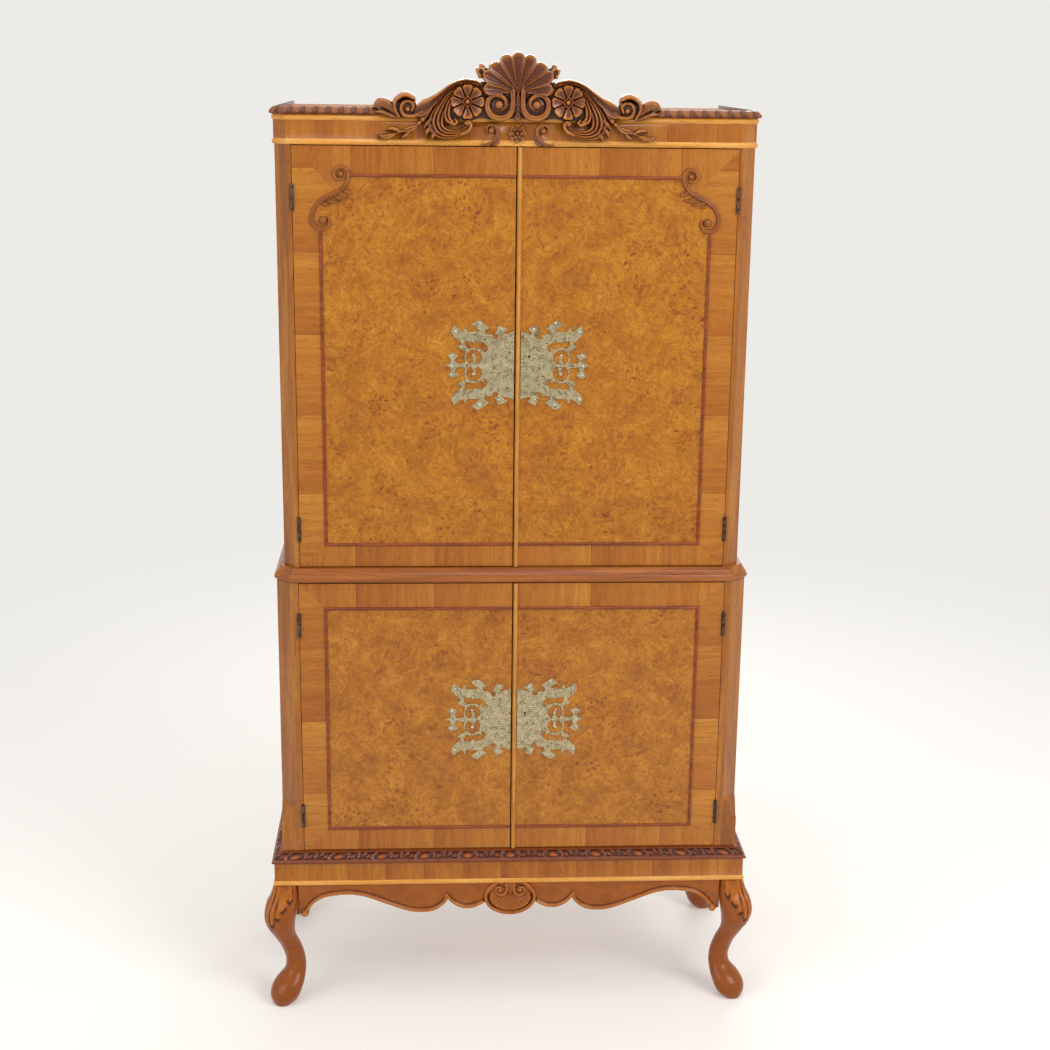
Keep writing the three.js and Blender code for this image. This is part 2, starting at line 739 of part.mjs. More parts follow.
// Shares of the bare half run and of the frieze's height, from the curled top to the foot.
const FRIEZE_SCROLL_SHARES = [
  [-0.7, 0.82],
  [-0.58, 0.7],
  [-0.56, 0.45],
  [-0.68, 0.22],
  [-0.98, 0.1],
];
const FRIEZE_SCROLL_WIDTH_SHARES = [0.5, 1, 1, 0.5];
const FRIEZE_SCROLL_HEIGHT_SHARES = [1, 1, 1, 0.5];

function friezeScroll() {
  const points = FRIEZE_SCROLL_SHARES.map(
    ([across, up]) => new THREE.Vector2(across * FRIEZE_BARE_HALF, FRIEZE_Z + up * FRIEZE_HEIGHT),
  );
  const face = -FRIEZE_PROUD;
  const back = face + GLUE_GAP;
  const width = LIGHT_BEAD_HEIGHT;
  const body = stem(curveThrough(points), {
    widths: sharesOf(FRIEZE_SCROLL_WIDTH_SHARES, width),
    heights: sharesOf(FRIEZE_SCROLL_HEIGHT_SHARES, FRIEZE_CARVING_PROUD),
    face,
    back,
  });
  return join(body, ball(points[0], width / 2, FRIEZE_CARVING_PROUD, face, back));
}

// Cornice profile above its bead, as shares of the lip and of the height left over the bead.
const CORNICE_PROFILE_SHARES = [
  [0.4, 0],
  [0.95, 0.1],
  [1, 0.22],
  [0.7, 0.55],
  [0.05, 0.85],
  [-0.7, 1],
];

// The cornice: a wall round the top board, its bead, and a carved lip that leans back above it.
function cornice() {
  const beadTop = CORNICE_Z + LIGHT_BEAD_HEIGHT;
  const lip = CORNICE_PROFILE_SHARES.map(([out, up]) => [
    out * CORNICE_LIP,
    beadTop + up * (CORNICE_TOP_Z - beadTop),
  ]);
  const crest = lip.at(-1)[0];
  const wall = moulding(
    upperOutline,
    [
      [-CORNICE_WALL, CORNICE_Z],
      [FRIEZE_PROUD, CORNICE_Z],
      [FRIEZE_PROUD, beadTop],
      [crest, CORNICE_TOP_Z],
      [-CORNICE_WALL, CORNICE_TOP_Z],
    ],
    inPlan,
  );
  const sunk = FRIEZE_PROUD - GLUE_GAP;
  const profile = uprightBead(sunk, CORNICE_Z, LIGHT_BEAD_HEIGHT, LIGHT_BEAD_PROUD + GLUE_GAP);
  const bead = cut(
    moulding(upperOutline, profile, inPlan),
    middleRun(CORNICE_BEAD_BARE_HALF, CORNICE_Z - OVERRUN, beadTop + OVERRUN),
  );
  const carved = cut(
    moulding(upperOutline, [...lip, [-CORNICE_WALL, CORNICE_TOP_Z], [-CORNICE_WALL, beadTop]], inPlan),
    middleRun(CORNICE_BARE_HALF, beadTop - OVERRUN, CORNICE_TOP_Z + OVERRUN),
  );
  return join(wall, bead, carved);
}

// Waist profile, as shares of its projection and of the waist board's thickness.
const WAIST_PROFILE_SHARES = [
  [0.46, 1],
  [0.52, 0.92],
  [0.52, 0.8],
  [0.58, 0.76],
  [0.66, 0.62],
  [0.82, 0.52],
  [0.88, 0.5],
  [0.88, 0.42],
  [0.97, 0.36],
  [1, 0.25],
  [0.97, 0.13],
  [0.86, 0.04],
  [0.72, 0],
];

function waistMoulding() {
  const profile = WAIST_PROFILE_SHARES.map(([out, up]) => [
    out * waistProjection,
    WAIST_Z + up * WAIST_THICKNESS,
  ]);
  const back = [
    [GLUE_GAP, WAIST_Z],
    [GLUE_GAP, UPPER_OPENING_Z],
  ];
  return moulding(upperOutline, [...profile, ...back], inPlan);
}

// Base moulding profile, as shares of its projection and of the floor board's thickness.
const BASE_PROFILE_SHARES = [
  [0.2, 1],
  [0.27, 0.95],
  [0.27, 0.84],
  [0.42, 0.74],
  [0.66, 0.52],
  [0.82, 0.24],
  [0.95, 0.2],
  [1, 0.12],
  [0.95, 0.03],
  [0.8, 0],
];

function baseMoulding() {
  const profile = BASE_PROFILE_SHARES.map(([out, up]) => [
    out * baseProjection,
    FLOOR_Z + up * FLOOR_THICKNESS,
  ]);
  const back = [
    [GLUE_GAP, FLOOR_Z],
    [GLUE_GAP, LOWER_OPENING_Z],
  ];
  return moulding(lowerSquareOutline, [...profile, ...back], inPlan);
}

// The base frieze: four mitred rails with a light bead along the foot of the front and sides.
function baseFrieze() {
  const top = BASE_FRIEZE_Z + BASE_FRIEZE_HEIGHT;
  const rails = moulding(
    baseOutline,
    [
      [-BASE_RAIL_THICKNESS, BASE_FRIEZE_Z],
      [0, BASE_FRIEZE_Z],
      [0, top],
      [-BASE_RAIL_THICKNESS, top],
    ],
    inPlan,
    true,
  );
  const profile = uprightBead(-GLUE_GAP, BASE_FRIEZE_Z, LIGHT_BEAD_HEIGHT, LIGHT_BEAD_PROUD + GLUE_GAP);
  return join(rails, moulding(baseOutline, profile, inPlan));
}

// Legs

// Cabriole stations: height as a share of the leg, then the centre's inset from the base's
// corner planes and the half width, as shares of the spread, and how square the section is.
const LEG_STATION_SHARES = [
  [0, 0.29, 0.53, 1],
  [0.033, 0.38, 0.78, 1],
  [0.071, 0.44, 0.93, 1],
  [0.123, 0.55, 0.985, 1],
  [0.178, 0.75, 0.92, 1],
  [0.242, 1.04, 0.7, 1],
  [0.3, 1.11, 0.625, 1],
  [0.37, 1.05, 0.62, 1],
  [0.471, 0.82, 0.64, 1],
  [0.578, 0.47, 0.7, 0.95],
  [0.676, 0.28, 0.89, 0.8],
  [0.762, 0.275, 1, 0.68],
  [0.84, 0.37, 0.97, 0.58],
  [0.913, 0.54, 0.845, 0.48],
  [1, 0.62, 0.71, 0.4],
];

// A leg's ring of points: a circle where roundness is 1, and squarer below that.
function legRing(x, y, halfX, halfY, roundness, z) {
  return Array.from({ length: LEG_FACETS }, (_, k) => {
    const angle = (2 * Math.PI * (k + 0.5)) / LEG_FACETS;
    const bulge = (value) => Math.sign(value) * Math.abs(value) ** roundness;
    const reachX = halfX / bulge(Math.cos(Math.PI / LEG_FACETS));
    const reachY = halfY / bulge(Math.cos(Math.PI / LEG_FACETS));
    return new THREE.Vector3(
      x + reachX * bulge(Math.cos(angle)),
      y + reachY * bulge(Math.sin(angle)),
      z,
    );
  });
}

// The left leg of the front pair turns out across the corner, and of the rear pair sideways.
function leg(rear) {
  const rings = LEG_STATION_SHARES.map(([up, inset, wide, roundness]) => {
    const reach = inset * LEG_SPREAD;
    const half = wide * LEG_SPREAD;
    const y = rear ? CASE_DEPTH - REAR_LEG_SET : BASE_FRONT + reach;
    return legRing(-BASE_HALF + reach, y, half, half, roundness, up * LEG_HEIGHT);
  });
  return loft(rings, rings[0].map((point) => new THREE.Vector2(point.x, point.y)));
}

// The deepest that a front leg reaches in from the base's corner planes, where the aprons start.
const apronInset = Math.max(
  ...LEG_STATION_SHARES.filter(([up]) => up * LEG_HEIGHT > LEG_HEIGHT - APRON_DROP).map(
    ([, inset, wide]) => (inset + wide) * LEG_SPREAD,
  ),
);

// Aprons

// The front apron's lower edge on the left, as shares of its half length and of its drop.
const APRON_EDGE_SHARES = [
  [-0.973, 0.94],
  [-0.933, 0.57],
  [-0.848, 0.38],
  [-0.777, 0.325],
  [-0.665, 0.44],
  [-0.571, 0.66],
  [-0.49, 0.853],
  [-0.427, 0.926],
  [-0.362, 0.868],
  [-0.323, 0.706],
];
const APRON_INNER_EDGE_SHARES = [
  [-0.299, 0.44],
  [-0.267, 0.662],
  [-0.219, 0.8],
  [-0.172, 0.78],
  [-0.119, 0.626],
];

function apronPoint(half) {
  return ([across, down]) => new THREE.Vector2(across * half, LEG_HEIGHT - down * APRON_DROP);
}

function frontApron() {
  const half = BASE_HALF - apronInset - GLUE_GAP;
  const face = BASE_FRONT + APRON_RECESS;
  const back = face + APRON_THICKNESS;
  const place = apronPoint(half);
  const outer = APRON_EDGE_SHARES.map(place);
  const inner = APRON_INNER_EDGE_SHARES.map(place);
  const flip = (points) => points.map((p) => new THREE.Vector2(-p.x, p.y)).reverse();
  const shape = new THREE.Shape();
  shape.moveTo(-half, LEG_HEIGHT);
  shape.lineTo(-half, outer[0].y);
  shape.lineTo(outer[0].x, outer[0].y);
  shape.splineThru(outer.slice(1));
  shape.lineTo(inner[0].x, inner[0].y);
  shape.splineThru(inner.slice(1));
  shape.lineTo(-inner.at(-1).x, inner.at(-1).y);
  shape.splineThru(flip(inner).slice(1));
  shape.lineTo(-outer.at(-1).x, outer.at(-1).y);
  shape.splineThru(flip(outer).slice(1));
  shape.lineTo(half, outer[0].y);
  shape.lineTo(half, LEG_HEIGHT);
  const board = fretted(shape, face, back);
  const left = apronCarving(outer, inner, face);
  return join(board, left, mirrored(left), cartouche(face));
}

// The bead that follows the left half of the lower edge, with its curled end by the leg.
function apronCarving(outer, inner, face) {
  const lift = (points) => points.map((p) => new THREE.Vector2(p.x, p.y + APRON_BEAD_WIDTH / 2));
  const back = face + GLUE_GAP;
  const bead = (points) =>
    stem(curveThrough(lift(points)), {
      widths: [APRON_BEAD_WIDTH, APRON_BEAD_WIDTH],
      heights: [APRON_BEAD_PROUD, APRON_BEAD_PROUD],
      face,
      back,
      stride: APRON_STRIDE,
    });
  const curl = ball(lift(outer)[0], APRON_BEAD_WIDTH, APRON_CURL_PROUD, face, back);
  return join(bead(outer), bead(inner), curl);
}

const CARTOUCHE_RADIUS_SHARES = [0, 0.8, 0.86, 0.97, 1];
const CARTOUCHE_HEIGHT_SHARES = [0.25, 0.25, 0.8, 0.8, 0.4];
const CARTOUCHE_FAN_SHARES = [0.12, 0.5, 0.82];
const CARTOUCHE_EYE_SHARES = [0.4, 0.5];
const CARTOUCHE_EYE_RADIUS_SHARE = 0.33;
const CARTOUCHE_ROOT_SHARE = 0.33;
const CARTOUCHE_VALLEY_SHARE = 0.3;
const CARTOUCHE_RIDGE_SHARE = 0.6;

// The oval shell in the middle of the apron: a raised rim, ribs that fan down, two curls above.
function cartouche(face) {
  const tall = CARTOUCHE_HEIGHT / 2;
  const centre = new THREE.Vector2(0, LEG_HEIGHT - APRON_DROP + tall);
  const back = face + GLUE_GAP;
  const dish = boss(centre, {
    radius: CARTOUCHE_HALF_WIDTH,
    rise: CARTOUCHE_PROUD,
    radiusShares: CARTOUCHE_RADIUS_SHARES,
    heightShares: CARTOUCHE_HEIGHT_SHARES,
    face,
    back,
    facets: CARTOUCHE_FACETS,
  });
  const squash = tall / CARTOUCHE_HALF_WIDTH;
  dish.translate(0, 0, -centre.y).scale(1, 1, squash).translate(0, 0, centre.y);
  const [across, up] = CARTOUCHE_EYE_SHARES;
  const eye = new THREE.Vector2(across * CARTOUCHE_HALF_WIDTH, centre.y + up * tall);
  const radius = tall * CARTOUCHE_EYE_RADIUS_SHARE;
  const curls = [eye, new THREE.Vector2(-eye.x, eye.y)].map((p) =>
    ball(p, radius, CARTOUCHE_PROUD, face, back),
  );
  const whole = join(dish, cartoucheFan(centre, tall, face, back), ...curls);
  const above = block(
    [-BASE_HALF, face - OVERRUN - CARTOUCHE_PROUD, LEG_HEIGHT],
    [BASE_HALF, back + OVERRUN, CORNICE_TOP_Z],
  );
  return cut(whole, above);
}

// The ribs: rays from above the middle, which reach down to the rim.
function cartoucheFan(centre, tall, face, back) {
  const root = centre.y + tall * CARTOUCHE_ROOT_SHARE;
  const columns = 2 * CARTOUCHE_RIBS;
  const rows = CARTOUCHE_FAN_SHARES.map((share) =>
    Array.from({ length: columns + 1 }, (_, j) => {
      const angle = -Math.PI * (j / columns);
      const rim = new THREE.Vector2(
        centre.x + CARTOUCHE_HALF_WIDTH * Math.cos(angle),
        centre.y + tall * Math.sin(angle),
      );
      const ridge = Math.abs(Math.sin((Math.PI * CARTOUCHE_RIBS * j) / columns));
      const height = CARTOUCHE_PROUD * (CARTOUCHE_VALLEY_SHARE + CARTOUCHE_RIDGE_SHARE * ridge * share);
      const z = THREE.MathUtils.lerp(root, rim.y, share);
      return new THREE.Vector3(rim.x * share, face - height, z);
    }),
  );
  return relief(rows, back);
}

// Side apron outline from the front leg back, as shares of its length and its drop.
const SIDE_APRON_SHARES = [
  [0.04, 1],
  [0.16, 0.6],
  [0.3, 0.5],
  [0.42, 0.66],
  [0.5, 0.9],
  [0.58, 0.66],
  [0.7, 0.5],
  [0.84, 0.6],
  [0.96, 1],
];

// The left side's apron, drawn from the side and stood between the front and rear legs.
function sideApron() {
  const start = BASE_FRONT + apronInset + GLUE_GAP;
  const rearFace = (wide) => CASE_DEPTH - REAR_LEG_SET - wide * LEG_SPREAD - GLUE_GAP;
  const stations = LEG_STATION_SHARES.filter(([up]) => up * LEG_HEIGHT > LEG_HEIGHT - APRON_DROP);
  const end = Math.min(...stations.map(([, , wide]) => rearFace(wide)));
  const place = ([along, down]) =>
    new THREE.Vector2(THREE.MathUtils.lerp(start, end, along), LEG_HEIGHT - down * SIDE_APRON_DROP);
  const shape = new THREE.Shape();
  shape.moveTo(start, LEG_HEIGHT);
  shape.lineTo(start, LEG_HEIGHT - SIDE_APRON_DROP);
  shape.lineTo(...place(SIDE_APRON_SHARES[0]).toArray());
  shape.splineThru(SIDE_APRON_SHARES.slice(1).map(place));
  shape.lineTo(end, LEG_HEIGHT - SIDE_APRON_DROP);
  stations.forEach(([up, , wide]) => shape.lineTo(rearFace(wide), up * LEG_HEIGHT));
  const board = fretted(shape, 0, APRON_THICKNESS);
  return board.rotateZ(Math.PI / 2).translate(-BASE_HALF + APRON_RECESS + APRON_THICKNESS, 0, 0);
}

// Pediment

// A point of the pediment: shares of its half width and of its height.
const onPediment = ([across, up]) =>
  new THREE.Vector2(across * PEDIMENT_HALF_WIDTH, PEDIMENT_Z + up * PEDIMENT_HEIGHT);

const GROUND_TOP_SHARES = [
  [0, 0.6],
  [0.2, 0.65],
  [0.36, 0.665],
  [0.47, 0.62],
  [0.56, 0.53],
  [0.66, 0.4],
  [0.72, 0.3],
];
const GROUND_BOTTOM_SHARES = [
  [0.66, 0.25],
  [0.6, 0.2],
  [0.5, 0.06],
  [0.38, 0.09],
  [0.32, 0.17],
  [0.3, 0.25],
  [0.1, 0.26],
  [0, 0.3],
];
const ARCH_SHARES = [
  [0.2, 0.62],
  [0.29, 0.66],
  [0.38, 0.66],
  [0.47, 0.61],
  [0.56, 0.5],
  [0.63, 0.4],
];
const LEAF_SHARES = [
  [
    [0.6, 0.46],
    [0.55, 0.3],
    [0.48, 0.17],
    [0.39, 0.11],
    [0.32, 0.19],
  ],
  [
    [0.63, 0.4],
    [0.6, 0.24],
    [0.53, 0.1],
    [0.46, 0.05],
    [0.38, 0.08],
  ],
  [
    [0.5, 0.56],
    [0.485, 0.42],
    [0.46, 0.3],
    [0.4, 0.21],
  ],
];
const END_LEAF_SHARES = [
  [0.8, 0.38],
  [0.87, 0.425],
  [0.94, 0.42],
  [0.995, 0.37],
];
const HUSK_SHARES = [
  [0.59, 0.22],
  [0.64, 0.155],
  [0.71, 0.115],
  [0.79, 0.09],
  [0.85, 0.06],
  [0.91, 0.03],
];
const ARCH_WIDTH_SHARES = [0.75, 1, 0.75];
const ARCH_HEIGHT_SHARES = [0.6, 0.8, 0.6];
const LEAF_WIDTH_SHARES = [0.6, 1, 0.8, 0.25];
const LEAF_HEIGHT_SHARES = [0.6, 1, 0.8, 0.3];
const HUSK_WIDTH_SHARES = [0.4, 0.4, 1, 1.1, 0.4, 1, 0.9, 0.2];
const HUSK_HEIGHT_SHARES = [0.6, 0.6, 1, 1, 0.6, 1, 1, 0.4];
const FLOWER_CENTRE_SHARES = [0.343, 0.436];
const SHELL_VOLUTE = {
  centreShares: [0.115, 0.396],
  radius: SHELL_VOLUTE_RADIUS,
  start: Math.PI * 1.2,
  turns: -1.2,
};
const END_VOLUTE = {
  centreShares: [0.738, 0.385],
  radius: END_VOLUTE_RADIUS,
  start: Math.PI * 1.1,
  turns: 1.3,
};
const SHELL_ROOT_SHARES = [0, 0.35];

const carvedFace = PEDIMENT_BACK - PEDIMENT_GROUND;
const carvedBack = carvedFace + PEDIMENT_GROUND / 2;

// The flat ground that every carved form stands on, right half.
function pedimentGround() {
  const top = GROUND_TOP_SHARES.map(onPediment);
  const bottom = GROUND_BOTTOM_SHARES.map(onPediment);
  const shape = new THREE.Shape();
  shape.moveTo(top[0].x, top[0].y);
  shape.splineThru(top.slice(1));
  shape.lineTo(bottom[0].x, bottom[0].y);
  shape.splineThru(bottom.slice(1));
  return fretted(shape, carvedFace, PEDIMENT_BACK);
}

const SHELL_ROW_SHARES = [0.1, 0.6, 0.92, 1];
const SHELL_FLARE_SHARES = [0.15, 0.25, 0.75, 1];
const SHELL_HALF_ANGLE = 1.4;
const SHELL_SHOULDER_SHARE = 0.33;
const SHELL_NOTCH_SHARE = 0.06;
const SHELL_HOLLOW_SHARE = 0.14;

// The scallop shell: hollow ribs that fan up from the root to a lobed rim that curls forward.
function shell() {
  const root = onPediment(SHELL_ROOT_SHARES);
  const reach = PEDIMENT_Z + PEDIMENT_HEIGHT - root.y;
  const columns = SHELL_LOBES * SHELL_LOBE_FACETS;
  const rows = SHELL_ROW_SHARES.map((share, i) =>
    Array.from({ length: columns + 1 }, (_, j) => {
      const across = (2 * j) / columns - 1;
      const angle = across * SHELL_HALF_ANGLE;
      const lobe = Math.abs(Math.sin((Math.PI * SHELL_LOBES * j) / columns));
      const fall = 1 - SHELL_SHOULDER_SHARE * across ** 4;
      const rim = reach * (fall - SHELL_NOTCH_SHARE * (1 - lobe) * share);
      const height = PEDIMENT_RELIEF * (SHELL_FLARE_SHARES[i] + SHELL_HOLLOW_SHARE * (1 - lobe));
      return new THREE.Vector3(
        root.x + rim * share * Math.sin(angle),
        carvedFace - Math.min(height, PEDIMENT_RELIEF),
        root.y + rim * share * Math.cos(angle),
      );
    }),
  );
  return relief(rows, carvedBack);
}

const VOLUTE_RIDGE_SHARE = 0.33;
const VOLUTE_WIDTH_SHARES = [1, 1, 0.8];
const VOLUTE_HEIGHT_SHARES = [0.6, 0.75, 0.75];
const VOLUTE_BED_RADIUS_SHARES = [0, 0.9];
const VOLUTE_BED_HEIGHT_SHARES = [0.33, 0.33];

// A curled end: a spiral ridge that closes on a round eye, over a flat bed.
function volute({ centreShares, radius, start, turns }) {
  const centre = onPediment(centreShares);
  const ridge = radius * VOLUTE_RIDGE_SHARE;
  const points = spiralPoints(centre, radius - ridge / 2, ridge, start, turns, VOLUTE_FACETS);
  const coil = stem(curveThrough(points), {
    widths: sharesOf(VOLUTE_WIDTH_SHARES, ridge),
    heights: sharesOf(VOLUTE_HEIGHT_SHARES, PEDIMENT_RELIEF),
    face: carvedFace,
    back: carvedBack,
  });
  const bed = boss(centre, {
    radius,
    rise: PEDIMENT_RELIEF,
    radiusShares: VOLUTE_BED_RADIUS_SHARES,
    heightShares: VOLUTE_BED_HEIGHT_SHARES,
    face: carvedFace,
    back: carvedBack,
    facets: VOLUTE_FACETS,
  });
  return join(bed, coil, ball(centre, ridge, PEDIMENT_RELIEF, carvedFace, carvedBack));
}

const FLOWER_RADIUS_SHARES = [0, 0.16, 0.26, 0.74, 1];
const FLOWER_HEIGHT_SHARES = [0.95, 0.75, 0.4, 0.9, 0.45];

function flower() {
  return boss(onPediment(FLOWER_CENTRE_SHARES), {
    radius: FLOWER_RADIUS,
    rise: PEDIMENT_RELIEF,
    radiusShares: FLOWER_RADIUS_SHARES,
    heightShares: FLOWER_HEIGHT_SHARES,
    face: carvedFace,
    back: carvedBack,
    facets: PETAL_FACETS * FLOWER_PETALS,
    ripple: petals(FLOWER_PETALS),
  });
}

// A leaf along pediment points, swelling in the middle and closing at its tip.
function pedimentLeaf(shares, width, proud) {
  return stem(curveThrough(shares.map(onPediment)), {
    widths: sharesOf(LEAF_WIDTH_SHARES, width),
    heights: sharesOf(LEAF_HEIGHT_SHARES, proud),
    face: carvedFace,
    back: carvedBack,
  });
}

// The husks that trail over the frieze: a thin stem with two pods.
function husks() {
  return stem(curveThrough(HUSK_SHARES.map(onPediment)), {
    widths: sharesOf(HUSK_WIDTH_SHARES, LIGHT_BEAD_HEIGHT),
    heights: sharesOf(HUSK_HEIGHT_SHARES, FRIEZE_CARVING_PROUD),
    face: PEDIMENT_BACK - GLUE_GAP,
    back: PEDIMENT_BACK,
  });
}

// The moulded arch that runs from behind the shell, over the flower, to the end volute.
function arch() {
  return stem(curveThrough(ARCH_SHARES.map(onPediment)), {
    widths: sharesOf(ARCH_WIDTH_SHARES, ARCH_WIDTH),
    heights: sharesOf(ARCH_HEIGHT_SHARES, PEDIMENT_RELIEF),
    face: carvedFace,
    back: carvedBack,
  });
}

function pedimentHalf() {
  return join(
    pedimentGround(),
    arch(),
    flower(),
    volute(SHELL_VOLUTE),
    volute(END_VOLUTE),
    ...LEAF_SHARES.map((shares) => pedimentLeaf(shares, LEAF_WIDTH, LEAF_PROUD)),
    pedimentLeaf(END_LEAF_SHARES, END_LEAF_WIDTH, END_LEAF_PROUD),
    husks(),
  );
}

// Room for the cornice's bead and lip, where they run under the pediment's ends.
function corniceRoom() {
  const deep = [PEDIMENT_BACK - PEDIMENT_GROUND - PEDIMENT_RELIEF - OVERRUN, OVERRUN];
  const beadTop = CORNICE_Z + LIGHT_BEAD_HEIGHT;
  return [-1, 1].flatMap((side) => {
    const span = (from) =>
      [side * from, side * (PEDIMENT_HALF_WIDTH + OVERRUN)].sort((a, b) => a - b);
    const [beadLeft, beadRight] = span(CORNICE_BEAD_BARE_HALF - GLUE_GAP);
    const [lipLeft, lipRight] = span(CORNICE_BARE_HALF - GLUE_GAP);
    return [
      block([beadLeft, deep[0], CORNICE_Z - GLUE_GAP], [beadRight, deep[1], beadTop + GLUE_GAP]),
      block([lipLeft, deep[0], beadTop], [lipRight, deep[1], CORNICE_TOP_Z + GLUE_GAP]),
    ];
  });
}

function pediment() {
  const half = pedimentHalf();
  return cut(join(half, mirrored(half), shell()), ...corniceRoom());
}

// Doors: each is drawn as the left one and mirrored for the right

const meetingEdge = -MEETING_GAP / 2;

// Where a door's field ends: at its edge, or at the meeting bead that the locked door carries.
const fieldEdge = (locked) => (locked ? meetingEdge - MEETING_BEAD_WIDTH - 2 * GLUE_GAP : meetingEdge);

function doorBoard(stage, locked) {
  const board = block(
    [-doorOuter(stage), stage.front, doorBottom(stage)],
    [meetingEdge, stage.front + DOOR_THICKNESS, doorBottom(stage) + doorHeight(stage)],
  );
  const feet = hingeFeet(stage);
  const rooms = [
    ...feet.map((foot) => leafRoom(stage, foot, 1)),
    ...feet.map((foot) => knuckleRoom(stage, foot)),
  ];
  if (!locked) return cut(board, ...rooms);
  const back = stage.front + DOOR_THICKNESS;
  const hole = keyhole(stage, stage.front - OVERRUN, back - LOCK_DEPTH);
  return cut(board, ...rooms, hole, lockBlock(stage, GLUE_GAP, OVERRUN));
}

// Where the keyhole is: measured from the plate's inner edge and its middle.
function keyholeCentre(stage) {
  return new THREE.Vector2(
    plateInner(true) - KEYHOLE_INSET,
    doorBottom(stage) + stage.plateRise + stage.keyholeRise,
  );
}

// A keyhole through whatever stands between two planes: a round with a slot below it.
function keyhole(stage, front, back) {
  const centre = keyholeCentre(stage);
  const shape = new THREE.Shape();
  const half = KEYHOLE_SLOT_WIDTH / 2;
  const start = -Math.PI / 2 + Math.asin(half / KEYHOLE_RADIUS);
  shape.absarc(centre.x, centre.y, KEYHOLE_RADIUS, start, Math.PI - start, false);
  shape.lineTo(centre.x - half, centre.y - KEYHOLE_SLOT_DROP);
  shape.lineTo(centre.x + half, centre.y - KEYHOLE_SLOT_DROP);
  return fretted(shape, front, back, KEYHOLE_FACETS);
}

// The lock's case in the back of the door, or the room for it where spare is given.
function lockBlock(stage, spare, past) {
  const centre = keyholeCentre(stage);
  const back = stage.front + DOOR_THICKNESS;
  return block(
    [meetingEdge - LOCK_WIDTH - spare, back - LOCK_DEPTH - spare, centre.y - LOCK_HEIGHT / 2 - spare],
    [meetingEdge + past, back + past, centre.y + LOCK_HEIGHT / 2 + spare],
  );
}

function lockCase(stage) {
  const front = stage.front + DOOR_THICKNESS - LOCK_DEPTH;
  return cut(lockBlock(stage, 0, 0), keyhole(stage, front - OVERRUN, front + LOCK_DEPTH / 2));
}

// The bead round three sides of a panel, open at the meeting edge, with a carved scroll in the
// outer top corner of an upper door.
function panelBead(stage, locked) {
  const left = -doorOuter(stage) + stage.borderSide;
  const low = doorBottom(stage) + stage.borderBottom;
  const high = doorBottom(stage) + doorHeight(stage) - stage.borderTop;
  const path = [
    [fieldEdge(locked), low],
    [left, low],
    [left, high],
    [fieldEdge(locked), high],
  ];
  const profile = halfRound(PANEL_BEAD_WIDTH, PANEL_BEAD_PROUD);
  const run = moulding(path, profile, onFace).translate(0, stage.front, 0);
  if (stage !== UPPER) return run;
  return join(cut(run, scrollCorner(stage, left, high)), ...cornerScroll(stage, left, high));
}

// Scroll sizes as shares of its width and height, measured from the bead's corner.
const SCROLL_CORNER_SHARES = [0.72, 0.86];
const SCROLL_PATH_SHARES = [
  [0.8, 0.02],
  [0.68, -0.16],
  [0.44, -0.3],
  [0.06, -0.42],
  [-0.2, -0.6],
  [-0.16, -0.77],
  [0.05, -0.86],
  [0.25, -0.8],
];
const SCROLL_LEAF_SHARES = [
  [
    [0.62, -0.18],
    [0.72, -0.24],
    [0.8, -0.28],
  ],
  [
    [0.28, -0.34],
    [0.4, -0.4],
    [0.47, -0.42],
  ],
  [
    [0.06, -0.42],
    [0.2, -0.48],
    [0.3, -0.51],
  ],
];
const SCROLL_BALL_SHARES = [
  [0.62, 0],
  [0.12, -0.74],
];
const SCROLL_STEM_WIDTH_SHARES = [1, 1.2, 1.3, 1.1, 1];
const SCROLL_LEAF_WIDTH_SHARES = [1, 0.8, 0.2];
const SCROLL_BALL_RADIUS_SHARE = 1.2;

// The corner of the bead that the scroll takes the place of.
function scrollCorner(stage, left, high) {
  const [across, down] = SCROLL_CORNER_SHARES;
  const face = stage.front;
  return block(
    [left - PANEL_BEAD_WIDTH, face - PANEL_BEAD_PROUD - OVERRUN, high - down * SCROLL_HEIGHT],
    [left + across * SCROLL_WIDTH, face + OVERRUN, high + PANEL_BEAD_WIDTH],
  );
}

function cornerScroll(stage, left, high) {
  const place = ([across, up]) =>
    new THREE.Vector2(left + across * SCROLL_WIDTH, high + up * SCROLL_HEIGHT);
  const face = stage.front - GLUE_GAP;
  const carve = (shares, widthShares) =>
    stem(curveThrough(shares.map(place)), {
      widths: sharesOf(widthShares, PANEL_BEAD_WIDTH),
      heights: [SCROLL_PROUD, SCROLL_PROUD],
      face,
      back: stage.front,
    });
  const radius = PANEL_BEAD_WIDTH * SCROLL_BALL_RADIUS_SHARE;
  return [
    carve(SCROLL_PATH_SHARES, SCROLL_STEM_WIDTH_SHARES),
    ...SCROLL_LEAF_SHARES.map((shares) => carve(shares, SCROLL_LEAF_WIDTH_SHARES)),
    ...SCROLL_BALL_SHARES.map((share) => ball(place(share), radius, SCROLL_PROUD, face, stage.front)),
  ];
}

// The bead on the closing edge of the right door.
function meetingBead(stage) {
  const x = meetingEdge - MEETING_BEAD_WIDTH / 2 - GLUE_GAP;
  const path = [
    [x, doorBottom(stage)],
    [x, doorBottom(stage) + doorHeight(stage)],
  ];
  return moulding(path, halfRound(MEETING_BEAD_WIDTH, MEETING_BEAD_PROUD), onFace).translate(
    0,
    stage.front,
    0,
  );
}

// Pierced plates

// Where a plate starts, a little out from the edge of the door's field.
const plateInner = (locked) => fieldEdge(locked) - PLATE_BEAD_CLEARANCE;

